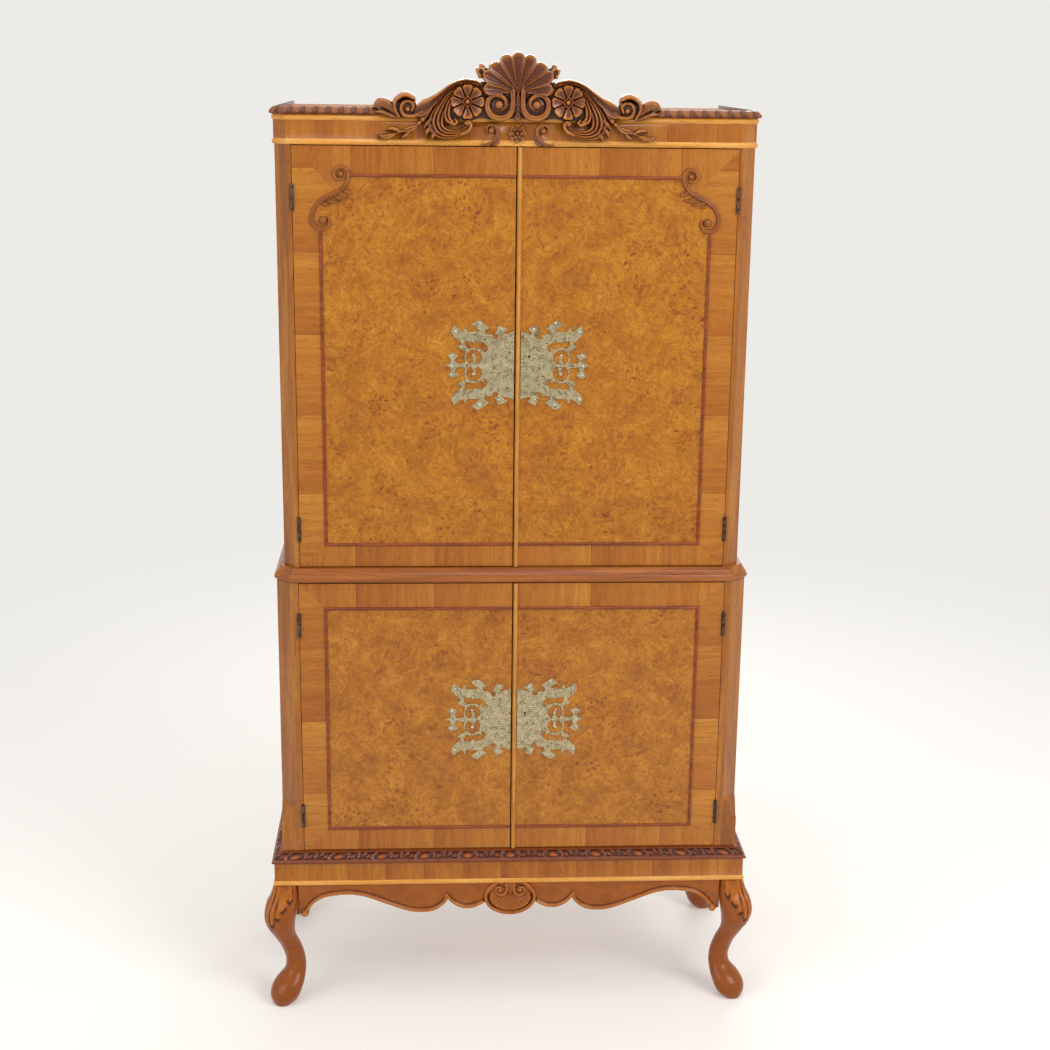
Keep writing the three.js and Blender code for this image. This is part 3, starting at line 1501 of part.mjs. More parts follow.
// The upper half of a plate's edge, outwards from the meeting edge, as shares of its width and
// half height. The lower half mirrors it.
const PLATE_BODY_SHARES = [
  [0, 0.76],
  [0.1, 0.71],
  [0.17, 0.7],
  [0.1, 0.81],
  [0.22, 0.9],
  [0.25, 0.79],
  [0.28, 0.7],
];
const PLATE_HOOK_SHARES = [0.265, 0.645];
const PLATE_HOOK_RADIUS_SHARE = 0.04;
const PLATE_ARM_SHARES = [
  [0.33, 0.69],
  [0.41, 0.69],
  [0.43, 0.76],
  [0.36, 0.83],
  [0.42, 0.91],
  [0.52, 1],
  [0.61, 0.91],
  [0.54, 0.83],
  [0.5, 0.76],
  [0.67, 0.74],
  [0.7, 0.87],
  [0.74, 0.75],
  [0.81, 0.81],
  [0.87, 0.895],
  [0.91, 0.75],
  [0.87, 0.64],
  [0.81, 0.56],
  [0.77, 0.52],
];
const PLATE_CURL_SHARES = [
  [0.76, 0.46],
  [0.81, 0.43],
  [0.78, 0.37],
  [0.72, 0.335],
];
const PLATE_RING_SHARES = [0.58, 0.175];
const PLATE_RING_RADIUS_SHARE = 0.142;
const PLATE_RING_BAND_SHARE = 0.026;
const PLATE_STEM_HALF_SHARE = 0.042;
const PLATE_HOOK_SWEEP = [0.7 * Math.PI, 2.1 * Math.PI];
const PLATE_RING_SWEEP = [0.2 * Math.PI, -0.16 * Math.PI];
const PLATE_RING_WINDOW_SWEEP = [-0.35 * Math.PI, 1.35 * Math.PI];
const PLATE_ARM_WINDOW_SWEEP = [0.7 * Math.PI, 0.36 * Math.PI];
const PLATE_CROSS_SHARES = [
  [0.83, 0.042],
  [0.86, 0.13],
  [0.8, 0.216],
  [0.893, 0.295],
  [0.965, 0.216],
  [0.91, 0.13],
  [0.92, 0.05],
];
const PLATE_TIP_SHARES = [1, 0];
const PLATE_WINDOW_SHARES = [
  [0.71, 0.55],
  [0.6, 0.53],
  [0.58, 0.49],
  [0.55, 0.52],
  [0.46, 0.52],
  [0.39, 0.44],
  [0.375, 0.36],
  [0.41, 0.29],
  [0.445, 0.31],
  [0.43, 0.41],
  [0.475, 0.35],
];
const PLATE_WINDOW_END_SHARES = [
  [0.67, 0.37],
  [0.71, 0.45],
];
const PLATE_FLEUR_SHARES = [
  [0.56, 0.1],
  [0.545, 0.16],
  [0.575, 0.235],
  [0.605, 0.16],
  [0.59, 0.1],
];

// One half plate with its piercings, drawn for the left door: its width runs to the left.
function plate(stage, locked) {
  const inner = plateInner(locked);
  const middle = doorBottom(stage) + stage.plateRise;
  const at = (flip) => ([across, up]) =>
    new THREE.Vector2(inner - across * PLATE_WIDTH, middle + flip * up * PLATE_HALF_HEIGHT);
  const top = plateEdge(at(1));
  const bottom = plateEdge(at(-1)).reverse();
  const shape = new THREE.Shape([...top, at(1)(PLATE_TIP_SHARES), ...bottom]);
  [1, -1].forEach((flip) => {
    shape.holes.push(new THREE.Path(ringWindow(at(flip))), new THREE.Path(armWindow(at(flip))));
  });
  const blank = fretted(shape, stage.front - PLATE_THICKNESS, stage.front);
  if (!locked) return blank;
  return cut(blank, keyhole(stage, stage.front - PLATE_THICKNESS - OVERRUN, stage.front + OVERRUN));
}

// Points on a circle of the plate over a sweep of angles, measured outwards from its centre.
function plateArc(at, centre, radiusShare, [from, to]) {
  const steps = Math.ceil((PLATE_ARC_FACETS * Math.abs(to - from)) / Math.PI);
  const upShare = (radiusShare * PLATE_WIDTH) / PLATE_HALF_HEIGHT;
  return Array.from({ length: steps + 1 }, (_, k) => {
    const angle = THREE.MathUtils.lerp(from, to, k / steps);
    return at([centre[0] + radiusShare * Math.cos(angle), centre[1] + upShare * Math.sin(angle)]);
  });
}

function plateEdge(at) {
  return [
    ...PLATE_BODY_SHARES.map(at),
    ...plateArc(at, PLATE_HOOK_SHARES, PLATE_HOOK_RADIUS_SHARE, PLATE_HOOK_SWEEP),
    ...PLATE_ARM_SHARES.map(at),
    ...PLATE_CURL_SHARES.map(at),
    ...plateArc(at, PLATE_RING_SHARES, PLATE_RING_RADIUS_SHARE, PLATE_RING_SWEEP),
    at([PLATE_RING_SHARES[0] + PLATE_RING_RADIUS_SHARE + PLATE_RING_BAND_SHARE, PLATE_STEM_HALF_SHARE]),
    ...PLATE_CROSS_SHARES.map(at),
  ];
}

// The window inside the ring, with the small leaf that stands in it.
function ringWindow(at) {
  const radius = PLATE_RING_RADIUS_SHARE - PLATE_RING_BAND_SHARE;
  const arc = plateArc(at, PLATE_RING_SHARES, radius, PLATE_RING_WINDOW_SWEEP);
  return [...arc, ...PLATE_FLEUR_SHARES.map(at)];
}

// The window between the arm, the body and the ring, with the horn that curls into it.
function armWindow(at) {
  const over = PLATE_RING_RADIUS_SHARE + PLATE_RING_BAND_SHARE / 4;
  const arc = plateArc(at, PLATE_RING_SHARES, over, PLATE_ARM_WINDOW_SWEEP);
  return [...PLATE_WINDOW_SHARES.map(at), ...arc, ...PLATE_WINDOW_END_SHARES.map(at)];
}

// Inside fittings

function mirrorBack() {
  const half = UPPER_HALF - SIDE_THICKNESS - MIRROR_MARGIN;
  const back = CASE_DEPTH - BACK_THICKNESS;
  return block(
    [-half, back - MIRROR_THICKNESS, UPPER_OPENING_Z + MIRROR_MARGIN],
    [half, back, FRIEZE_Z - MIRROR_MARGIN],
  );
}

function glassShelf() {
  const half = UPPER_HALF - SIDE_THICKNESS + SHELF_GROOVE;
  const low = UPPER_OPENING_Z + SHELF_RISE;
  const back = CASE_DEPTH - BACK_THICKNESS - MIRROR_THICKNESS - 2 * GLUE_GAP;
  return block([-half, SHELF_SETBACK, low], [half, back, low + SHELF_THICKNESS]);
}

// Assembly

const cabinet = new THREE.Group();

function add(group, name, piece, material) {
  const mesh = new THREE.Mesh(meshOf(piece), material);
  mesh.name = name;
  group.add(mesh);
}

function addPair(group, names, piece, material) {
  add(group, names[0], piece, material);
  add(group, names[1], mirrored(piece), material);
}

function buildStage(stage) {
  const group = new THREE.Group();
  const pair = (piece) => [`${stage.name}_left_${piece}`, `${stage.name}_right_${piece}`];
  addPair(group, pair("side"), sideBoard(stage), WALNUT);
  addPair(group, pair("corner_stile"), cornerStile(stage), WALNUT);
  hingeFeet(stage).forEach((foot, k) => {
    const place = k === 0 ? "bottom" : "top";
    addPair(group, pair(`${place}_hinge_case_leaf`), hingeLeaf(stage, foot, -1), IRON);
    addPair(group, pair(`${place}_hinge_door_leaf`), hingeLeaf(stage, foot, 1), IRON);
  });
  const [left, right] = pair("door");
  add(group, left, doorBoard(stage, false), BURR);
  add(group, right, mirrored(doorBoard(stage, true)), BURR);
  const [leftBead, rightBead] = pair("panel_bead");
  add(group, leftBead, panelBead(stage, false), RED_BEAD);
  add(group, rightBead, mirrored(panelBead(stage, true)), RED_BEAD);
  const [leftPlate, rightPlate] = pair("escutcheon");
  add(group, leftPlate, plate(stage, false), BRASS);
  add(group, rightPlate, mirrored(plate(stage, true)), BRASS);
  add(group, `${stage.name}_meeting_bead`, mirrored(meetingBead(stage)), LIGHT_BEAD);
  add(group, `${stage.name}_lock_case`, mirrored(lockCase(stage)), IRON);
  return group;
}

function buildUpperCase() {
  const group = buildStage(UPPER);
  add(group, "waist_board", waistBoard(), WALNUT);
  add(group, "upper_back_panel", backPanel(UPPER), PLAIN);
  add(group, "upper_top_board", topBoard(), PLAIN);
  add(group, "frieze", frieze(), WALNUT);
  add(group, "cornice_moulding", cornice(), CARVED);
  add(group, "pediment_carving", pediment(), CARVED);
  add(group, "mirror_back", mirrorBack(), MIRROR);
  add(group, "glass_shelf", glassShelf(), GLASS);
  return group;
}

function buildLowerCase() {
  const group = buildStage(LOWER);
  add(group, "lower_floor_board", floorBoard(), WALNUT);
  add(group, "lower_back_panel", backPanel(LOWER), PLAIN);
  add(group, "waist_moulding", waistMoulding(), CARVED);
  add(group, "base_moulding", baseMoulding(), CARVED);
  return group;
}

function buildBase() {
  const group = new THREE.Group();
  add(group, "base_frieze", baseFrieze(), WALNUT);
  add(group, "front_apron", frontApron(), CARVED);
  addPair(group, ["left_apron", "right_apron"], sideApron(), CARVED);
  addPair(group, ["front_left_leg", "front_right_leg"], leg(false), CARVED);
  addPair(group, ["rear_left_leg", "rear_right_leg"], leg(true), CARVED);
  return group;
}

cabinet.add(buildUpperCase(), buildLowerCase(), buildBase());

// The origin is under the middle of the whole cabinet.
const bounds = new THREE.Box3().setFromObject(cabinet);
cabinet.position.y = -(bounds.min.y + bounds.max.y) / 2;

export default cabinet;
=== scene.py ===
"""A two-stage bar cabinet in burr walnut: the polished, carved and furnished pieces over its frame.

All sizes in the classes are millimetres in the cabinet's own frame: x to the right, y into the wall,
z up from the floor. Meshes are built in metres.
"""

import json
import logging
import math
from contextlib import contextmanager
from dataclasses import dataclass, field
from enum import Enum
from typing import Callable, Iterator, Sequence

import bpy
import numpy as np
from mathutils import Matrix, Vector

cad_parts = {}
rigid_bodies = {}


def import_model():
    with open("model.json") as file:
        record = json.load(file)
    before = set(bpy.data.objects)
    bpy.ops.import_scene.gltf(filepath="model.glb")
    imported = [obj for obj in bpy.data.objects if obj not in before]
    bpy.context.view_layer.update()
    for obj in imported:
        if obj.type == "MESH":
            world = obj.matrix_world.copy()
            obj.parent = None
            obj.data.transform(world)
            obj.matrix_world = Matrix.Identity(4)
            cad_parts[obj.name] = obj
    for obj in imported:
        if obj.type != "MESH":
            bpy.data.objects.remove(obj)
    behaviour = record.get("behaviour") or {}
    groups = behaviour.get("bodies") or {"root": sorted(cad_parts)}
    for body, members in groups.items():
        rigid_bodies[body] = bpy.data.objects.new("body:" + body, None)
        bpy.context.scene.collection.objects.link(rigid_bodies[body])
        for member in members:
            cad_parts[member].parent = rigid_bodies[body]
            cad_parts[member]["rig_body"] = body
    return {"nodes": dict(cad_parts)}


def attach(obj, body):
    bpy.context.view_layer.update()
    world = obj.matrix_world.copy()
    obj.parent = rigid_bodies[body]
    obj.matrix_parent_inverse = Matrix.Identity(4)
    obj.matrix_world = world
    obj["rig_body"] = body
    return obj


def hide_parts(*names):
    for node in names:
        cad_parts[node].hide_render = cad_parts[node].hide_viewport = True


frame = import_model()

log = logging.getLogger("cabinet")
MM = 0.001
WELD = 0.01

Point = tuple[float, float]
Tones = tuple[str, str, str]
Array = np.ndarray
Object = bpy.types.Object
Tree = bpy.types.NodeTree
Node = bpy.types.Node
Socket = bpy.types.NodeSocket


class Side(Enum):
    """Which half of the cabinet a mirrored piece belongs to."""

    LEFT = -1
    RIGHT = 1

    @property
    def word(self) -> str:
        """The side's name as the frame writes it."""
        return self.name.lower()


class Grain(Enum):
    """The way the fibres of a piece run, as the scale of its pattern along x, y and z."""

    ACROSS = (0.07, 1.0, 1.0)
    DEEP = (1.0, 0.07, 1.0)
    UPRIGHT = (1.0, 1.0, 0.07)


# Colour and nodes


def linear(code: str) -> tuple[float, float, float, float]:
    """Turn an sRGB hex colour into linear light.

    Args:
        code: The colour as "#RRGGBB".

    Returns:
        Red, green, blue and an alpha of 1.
    """
    parts = [int(code[k : k + 2], 16) / 255 for k in (1, 3, 5)]
    red, green, blue = (p / 12.92 if p <= 0.04045 else ((p + 0.055) / 1.055) ** 2.4 for p in parts)
    return (red, green, blue, 1.0)


def repeats(size: float) -> float:
    """Give the texture scale at which one feature is this many millimetres."""
    return 1 / (size * MM)


def add_node(
    tree: Tree, kind: str, inputs: dict[int | str, object] | None = None, **settings: object,
) -> Node:
    """Add one node with its settings, its values and its links.

    Args:
        tree: The node tree that gets it.
        kind: The node's Blender type, without "ShaderNode".
        inputs: What its sockets get, as for feed.
        settings: The node's own options; stops is a list of (place, hex colour or grey) for a ramp.

    Returns:
        The new node.
    """
    node = tree.nodes.new("ShaderNode" + kind)
    stops = settings.pop("stops", None)
    for name, value in settings.items():
        setattr(node, name, value)
    if stops:
        ramp = node.color_ramp
        while len(ramp.elements) < len(stops):
            ramp.elements.new(0.5)
        for element, (place, shade) in zip(ramp.elements, stops):
            element.position = place
            element.color = linear(shade) if isinstance(shade, str) else (shade, shade, shade, 1)
    feed(tree, node, inputs or {})
    return node


def feed(tree: Tree, node: Node, inputs: dict[int | str, object]) -> None:
    """Set a node's inputs, or link them.

    Args:
        tree: The node tree.
        node: The node.
        inputs: Socket name or number, and a value, a socket, or a node whose first live output is used.
    """
    for key, value in inputs.items():
        named = (s for s in node.inputs if s.name == key and s.enabled)
        socket = node.inputs[key] if isinstance(key, int) else next(named)
        if isinstance(value, Node):
            value = next(s for s in value.outputs if s.enabled)
        if isinstance(value, Socket):
            tree.links.new(value, socket)
        else:
            socket.default_value = value


def fresh_tree(owner: bpy.types.ID) -> Tree:
    """Give a material or a world an empty node tree."""
    owner.use_nodes = True
    owner.node_tree.nodes.clear()
    return owner.node_tree


# Finishes


TINT = {"data_type": "RGBA", "blend_type": "MULTIPLY"}
BEAD_TONES = ("#CB8830", "#E59E40", "#F0B464")
CROSSBAND = ("#B26E20", "#C37E26", "#D09034")
INSIDE_TONES = ("#8A5320", "#A96C30", "#BE8443")


@dataclass(frozen=True)
class Finish:
    """What every finish has: its name, the name of the record's slot, and its gloss.

    Attributes:
        name: The material's name.
        slot: The record's material slot; not used.
        roughness: The roughness of the polished surface.
        coat: How much clear polish lies over it.
        sheen: How strongly the wood itself shines under the polish.
    """

    name: str
    slot: str
    roughness: float = 0.34
    coat: float = 0.3
    sheen: float = 0.28

    def material(self) -> bpy.types.Material:
        """Give the finish's material, made once."""
        made = bpy.data.materials.get(self.name)
        if made:
            return made
        made = bpy.data.materials.new(self.name)
        tree = fresh_tree(made)
        shader = add_node(tree, "BsdfPrincipled", {"Roughness": self.roughness})
        add_node(tree, "OutputMaterial", {"Surface": shader})
        self.paint(tree, shader, add_node(tree, "TexCoord").outputs["Object"])
        return made

    def paint(self, tree: Tree, shader: Node, place: Socket) -> None:
        """Add what makes this finish itself. Each kind of finish has its own.

        Args:
            tree: The material's tree.
            shader: Its surface shader.
            place: The coordinates to paint in, in metres.
        """
        raise NotImplementedError

    def polish(
        self, tree: Tree, shader: Node, colour: object, pores: object, strength: float, depth: float
    ) -> None:
        """Give wood its colour and pores, and lay shellac over it: a thin clear coat with a soft gloss.

        Args:
            tree: The material's tree.
            shader: Its surface shader.
            colour: The node or socket with the wood's colour.
            pores: The node or socket with its heights.
            strength: How strongly the heights catch the light.
            depth: Their depth in millimetres.
        """
        bump = add_node(tree, "Bump", {"Strength": strength, "Distance": depth * MM, "Height": pores})
        feed(tree, shader, {"Base Color": colour, "Normal": bump, "IOR": 1.5, "Coat IOR": 1.52})
        gloss = {"Specular IOR Level": self.sheen, "Coat Weight": self.coat, "Coat Roughness": 0.16}
        feed(tree, shader, gloss)


@dataclass(frozen=True)
class PlainWalnut(Finish):
    """French-polished straight-grained walnut: long soft bands of colour with short dark pores.

    Attributes:
        grain: Which way the fibres run.
        dark: The colour of the late wood.
        body: The main colour.
        light: The colour of the early wood.
        figure: Width of a light or dark band across the grain.
        pore: Width of a pore. Real ones are 0.3 mm; they are drawn coarser so that they show.
    """

    grain: Grain = Grain.UPRIGHT
    dark: str = "#7E4312"
    body: str = "#A9641F"
    light: str = "#C37E2E"
    figure: float = 22.0
    pore: float = 1.1

    def paint(self, tree: Tree, shader: Node, place: Socket) -> None:
        """Paint the grain and its pores."""
        shades = (self.dark, self.body, self.light)
        colour, pores = fibres(tree, place, self.grain, self.figure, self.pore, shades)
        self.polish(tree, shader, colour, pores, 0.25, 0.15)


def fibres(
    tree: Tree, place: Socket, grain: Grain, figure: float, pore: float, shades: Tones,
) -> tuple[Socket, Socket]:
    """Draw wood fibres: bands along the grain, with pores as short dark dashes.

    Args:
        tree: The material's tree.
        place: The coordinates to draw in, in metres.
        grain: Which way the fibres run.
        figure: Width of a band in millimetres.
        pore: Width of a pore in millimetres.
        shades: The dark, middle and light colours.

    Returns:
        The colour, and the pores as a height.
    """
    along = add_node(tree, "Mapping", {"Vector": place, "Scale": grain.value})
    band = {"Vector": along, "Scale": repeats(figure), "Detail": 5.0, "Roughness": 0.6, "Distortion": 0.8}
    bands = add_node(tree, "TexNoise", band)
    dark, body, light = shades
    stops = [(0.28, dark), (0.5, body), (0.74, light)]
    colour = add_node(tree, "ValToRGB", {"Fac": bands}, stops=stops)
    dash = {"Vector": along, "Scale": repeats(pore), "Detail": 2.0, "Roughness": 0.5}
    dashes = add_node(tree, "TexNoise", dash)
    pores = add_node(tree, "ValToRGB", {"Fac": dashes}, stops=[(0.3, 0.62), (0.47, 1.0)])
    pored = add_node(tree, "Mix", {"Factor": 1.0, "A": colour, "B": pores}, **TINT)
    return pored.outputs[2], pores.outputs[0]


@dataclass(frozen=True)
class BandedWalnut(Finish):
    """Straight-grained veneer laid in short blocks, with a light bead below a level.

    Attributes:
        block: Usual length of a block of veneer.
        bead_top: The level under which the piece is its light bead.
        tones: Colours from the darkest block to the lightest.
    """

    block: float = 70.0
    bead_top: float = 0.0
    tones: Tones = ("#A8641A", "#B9741F", "#C98629")

    def paint(self, tree: Tree, shader: Node, place: Socket) -> None:
        """Paint upright fibres, a tone for each block, and the bead."""
        x, y, z = add_node(tree, "SeparateXYZ", {0: place}).outputs
        along = add_node(tree, "Math", {0: x, 1: y}, operation="ADD")
        veneer, pores = blocks(tree, place, along.outputs[0], Grain.UPRIGHT, self.block, self.tones)
        bead, _ = fibres(tree, place, Grain.ACROSS, 14, 1.2, BEAD_TONES)
        edge = add_node(tree, "Math", {0: z, 1: self.bead_top * MM}, operation="LESS_THAN")
        colour = add_node(tree, "Mix", {"Factor": edge, "A": veneer, "B": bead}, data_type="RGBA")
        self.polish(tree, shader, colour, pores, 0.2, 0.12)


def blocks(
    tree: Tree, place: Socket, along: Socket, grain: Grain, block: float, tones: Tones,
) -> tuple[Socket, Socket]:
    """Draw a crossband: leaves of veneer end to end, each shading from dark to light along the band.

    Args:
        tree: The material's tree.
        place: The coordinates to draw in, in metres.
        along: The distance along the band, in metres.
        grain: Which way the fibres run, across the band.
        block: Length of a leaf in millimetres.
        tones: Colours of the fibres from dark to light.

    Returns:
        The colour, and the pores as a height.
    """
    colour, pores = fibres(tree, place, grain, 9, 1.0, tones)
    step = add_node(tree, "Math", {0: along, 1: repeats(block)}, operation="MULTIPLY")
    share = add_node(tree, "Math", {0: step}, operation="FRACT")
    count = add_node(tree, "Math", {0: step}, operation="FLOOR")
    leaf = add_node(tree, "TexWhiteNoise", {"W": count}, noise_dimensions="1D")
    stops = [(0.0, "#B08A60"), (0.01, "#E6D2B4"), (0.5, "#F3E8D4"), (1.0, "#FFFFFF")]
    wash = add_node(tree, "ValToRGB", {"Fac": share}, stops=stops)
    stops = [(0.0, "#EEE0CC"), (1.0, "#FFFFFF")]
    own = add_node(tree, "ValToRGB", {"Fac": leaf.outputs["Value"]}, stops=stops)
    shaded = add_node(tree, "Mix", {"Factor": 1.0, "A": colour, "B": wash}, **TINT)
    return add_node(tree, "Mix", {"Factor": 1.0, "A": shaded, "B": own}, **TINT).outputs[2], pores


@dataclass(frozen=True)
class BurrVeneer(Finish):
    """Burr walnut in a crossbanded border, French polished.

    The burr gives soft clouds of honey and brown with clusters of small dark eyes. The border's
    fibres run across it, in leaves that shade from dark to light.

    Attributes:
        line_side: Distance of the panel's outer edge from the cabinet's middle.
        line_top: Level of the panel's top edge.
        line_bottom: Level of the panel's bottom edge.
        corner: How far the burr is cut off at its outer top corner, or 0.
        face: The y of the door's front.
        clouds: Colours of the burr's clouds, as places in a ramp.
        leaf: Length of a leaf of the border.
        veneer: How far the veneer is seen on the door's edges.
    """

    line_side: float = 346.0
    line_top: float = 1604.6
    line_bottom: float = 932.7
    corner: float = 50.0
    face: float = -174.76
    clouds: tuple[tuple[float, str], ...] = (
        (0.3, "#A5640F"), (0.42, "#B67314"), (0.54, "#C4821B"), (0.66, "#CE8F27"), (0.8, "#DCA23A"),
    )
    leaf: float = 147.0
    veneer: float = 1.5

    def paint(self, tree: Tree, shader: Node, place: Socket) -> None:
        """Paint the burr, its border and the plain veneer on the inside of the door."""
        x, y, z = add_node(tree, "SeparateXYZ", {0: place}).outputs
        burr, relief = self.burr(tree, place)
        in_border, on_side = self.border(tree, x, z)
        upright, fine_a = blocks(tree, place, z, Grain.ACROSS, self.leaf, CROSSBAND)
        level, fine_b = blocks(tree, place, x, Grain.UPRIGHT, self.leaf - 1, CROSSBAND)
        banding = add_node(tree, "Mix", {"Factor": on_side, "A": level, "B": upright}, data_type="RGBA")
        fine = add_node(tree, "Mix", {"Factor": on_side, "A": fine_b, "B": fine_a}, data_type="RGBA")
        dressed = add_node(tree, "Mix", {"Factor": in_border, "A": burr, "B": banding}, data_type="RGBA")
        heights = add_node(tree, "Mix", {"Factor": in_border, "A": relief, "B": fine}, data_type="RGBA")
        inside, _ = fibres(tree, place, Grain.UPRIGHT, 30, 1.2, INSIDE_TONES)
        rear = (self.face + self.veneer) * MM
        behind = add_node(tree, "Math", {0: y, 1: rear}, operation="GREATER_THAN")
        colour = add_node(tree, "Mix", {"Factor": behind, "A": dressed, "B": inside}, data_type="RGBA")
        self.polish(tree, shader, colour, heights, 0.15, 0.1)

    def border(self, tree: Tree, x: Socket, z: Socket) -> tuple[Node, Node]:
        """Tell the border from the burr, and its upright bands from its level ones.

        Args:
            tree: The material's tree.
            x: The place across.
            z: The place up.

        Returns:
            1 in the border, and 1 where its bands run upright.
        """
        across = add_node(tree, "Math", {0: x}, operation="ABSOLUTE")
        side = add_node(tree, "Math", {0: across, 1: self.line_side * MM}, operation="SUBTRACT")
        over = add_node(tree, "Math", {0: z, 1: self.line_top * MM}, operation="SUBTRACT")
        under = add_node(tree, "Math", {0: self.line_bottom * MM, 1: z}, operation="SUBTRACT")
        ends = add_node(tree, "Math", {0: over, 1: under}, operation="MAXIMUM")
        outside = add_node(tree, "Math", {0: ends, 1: side}, operation="MAXIMUM")
        if self.corner:
            diagonal = add_node(tree, "Math", {0: over, 1: side}, operation="ADD")
            nipped = add_node(tree, "Math", {0: diagonal, 1: self.corner * MM}, operation="ADD")
            outside = add_node(tree, "Math", {0: outside, 1: nipped}, operation="MAXIMUM")
        in_border = add_node(tree, "Math", {0: outside, 1: 0.0}, operation="GREATER_THAN")
        return in_border, add_node(tree, "Math", {0: side, 1: ends}, operation="GREATER_THAN")

    def burr(self, tree: Tree, place: Socket) -> tuple[Socket, Socket]:
        """Draw the burr: broad soft clouds, fine curly mottling and clusters of small eyes.

        Args:
            tree: The material's tree.
            place: The coordinates to draw in.

        Returns:
            The colour, and the mottling as a height.
        """
        stir = add_node(tree, "TexNoise", {"Vector": place, "Scale": repeats(70), "Detail": 3.0})
        push = {0: 0.06, 1: place, 2: stir.outputs["Color"]}
        stirred = add_node(tree, "MixRGB", push, blend_type="ADD")
        curl = add_node(tree, "TexNoise", {"Vector": stirred, "Scale": repeats(15), "Detail": 3.0})
        push = {0: 0.016, 1: stirred, 2: curl.outputs["Color"]}
        curled = add_node(tree, "MixRGB", push, blend_type="ADD")
        cloud = {"Vector": curled, "Scale": repeats(40), "Detail": 8.0, "Roughness": 0.72}
        clouds = add_node(tree, "TexNoise", cloud)
        base = add_node(tree, "ValToRGB", {"Fac": clouds}, stops=self.clouds)
        figure = {
            "Vector": curled, "Scale": repeats(7), "Detail": 5.0, "Roughness": 0.72, "Distortion": 1.2,
        }
        figured = add_node(tree, "TexNoise", figure)
        stops = [(0.3, "#986A40"), (0.47, "#E0C8A6"), (0.62, "#FFFFFF")]
        shade = add_node(tree, "ValToRGB", {"Fac": figured}, stops=stops)
        curly_wood = add_node(tree, "Mix", {"Factor": 0.8, "A": base, "B": shade}, **TINT)
        eyes = add_node(tree, "TexVoronoi", {"Vector": curled, "Scale": repeats(11), "Randomness": 1.0})
        stops = [(0.0, "#8A5A34"), (0.16, "#B98C62"), (0.28, "#F0E0CC"), (0.45, "#FFFFFF")]
        rings = add_node(tree, "ValToRGB", {"Fac": eyes}, stops=stops)
        herd = add_node(tree, "TexNoise", {"Vector": place, "Scale": repeats(75), "Detail": 3.0})
        where = add_node(tree, "ValToRGB", {"Fac": herd}, stops=[(0.46, 0.0), (0.66, 0.9)])
        wood = add_node(tree, "Mix", {"Factor": where, "A": curly_wood, "B": rings}, **TINT)
        return wood.outputs[2], shade.outputs[0]


@dataclass(frozen=True)
class CarvedWalnut(Finish):
    """Carved walnut under dark polish: high points lighter from wear and a painted highlight, hollows
    painted dark as shade.

    Attributes:
        hollow: The colour deep in the carving, painted shade.
        body: The main colour.
        rubbed: The colour of the high points: wear and a painted highlight.
    """

    coat: float = 0.22
    sheen: float = 0.22
    hollow: str = "#280E03"
    body: str = "#6A2F0A"
    rubbed: str = "#B8722E"

    def paint(self, tree: Tree, shader: Node, place: Socket) -> None:
        """Paint by the piece's own relief attribute, broken up by the grain: painted shade in the hollows
        and a painted highlight on the high points.
        """
        relief = add_node(tree, "Attribute", attribute_name="relief")
        stain = add_node(tree, "TexNoise", {"Vector": place, "Scale": repeats(16), "Detail": 4.0})
        spread = add_node(tree, "Math", {0: stain, 1: 0.3, 2: -0.15}, operation="MULTIPLY_ADD")
        level = add_node(tree, "Math", {0: relief.outputs["Fac"], 1: spread}, operation="ADD")
        # Painted shade where the relief is low, and a painted highlight where it is high.
        stops = [(0.2, self.hollow), (0.52, self.body), (0.92, self.rubbed)]
        colour = add_node(tree, "ValToRGB", {"Fac": level}, stops=stops)
        _, pores = fibres(tree, place, Grain.ACROSS, 10, 1.0, (self.hollow, self.body, self.rubbed))
        pored = add_node(tree, "Mix", {"Factor": 0.5, "A": colour, "B": pores}, **TINT)
        self.polish(tree, shader, pored, pores, 0.3, 0.15)


@dataclass(frozen=True)
class EngravedBrass(Finish):
    """Cast brass, engraved and lightly tarnished: pale gold with dark fine lines.

    Attributes:
        bright: The colour of the metal where wear has taken the tarnish off.
        tarnish: The colour in the engraved lines.
    """

    bright: str = "#C0B28E"
    tarnish: str = "#635841"

    def paint(self, tree: Tree, shader: Node, place: Socket) -> None:
        """Paint the metal with engraved lines and tarnish in them."""
        swirl = add_node(tree, "TexNoise", {"Vector": place, "Scale": repeats(17), "Detail": 0.0})
        rings = add_node(tree, "Math", {0: swirl, 1: 10.0}, operation="MULTIPLY")
        ring = add_node(tree, "Math", {0: rings}, operation="FRACT")
        outline = add_node(tree, "ValToRGB", {"Fac": ring}, stops=[(0.04, 0.12), (0.5, 1.0)])
        dirt = add_node(tree, "TexNoise", {"Vector": place, "Scale": repeats(9), "Detail": 5.0})
        hatch = add_node(tree, "ValToRGB", {"Fac": dirt}, stops=[(0.38, 0.45), (0.6, 1.0)])
        lines = add_node(tree, "Mix", {"Factor": 1.0, "A": outline, "B": hatch}, **TINT)
        stops = [(0.0, self.tarnish), (0.7, self.bright)]
        colour = add_node(tree, "ValToRGB", {"Fac": lines}, stops=stops)
        bump = add_node(tree, "Bump", {"Strength": 0.6, "Distance": 0.35 * MM, "Height": lines})
        feed(tree, shader, {"Metallic": 1.0, "Base Color": colour, "Normal": bump})


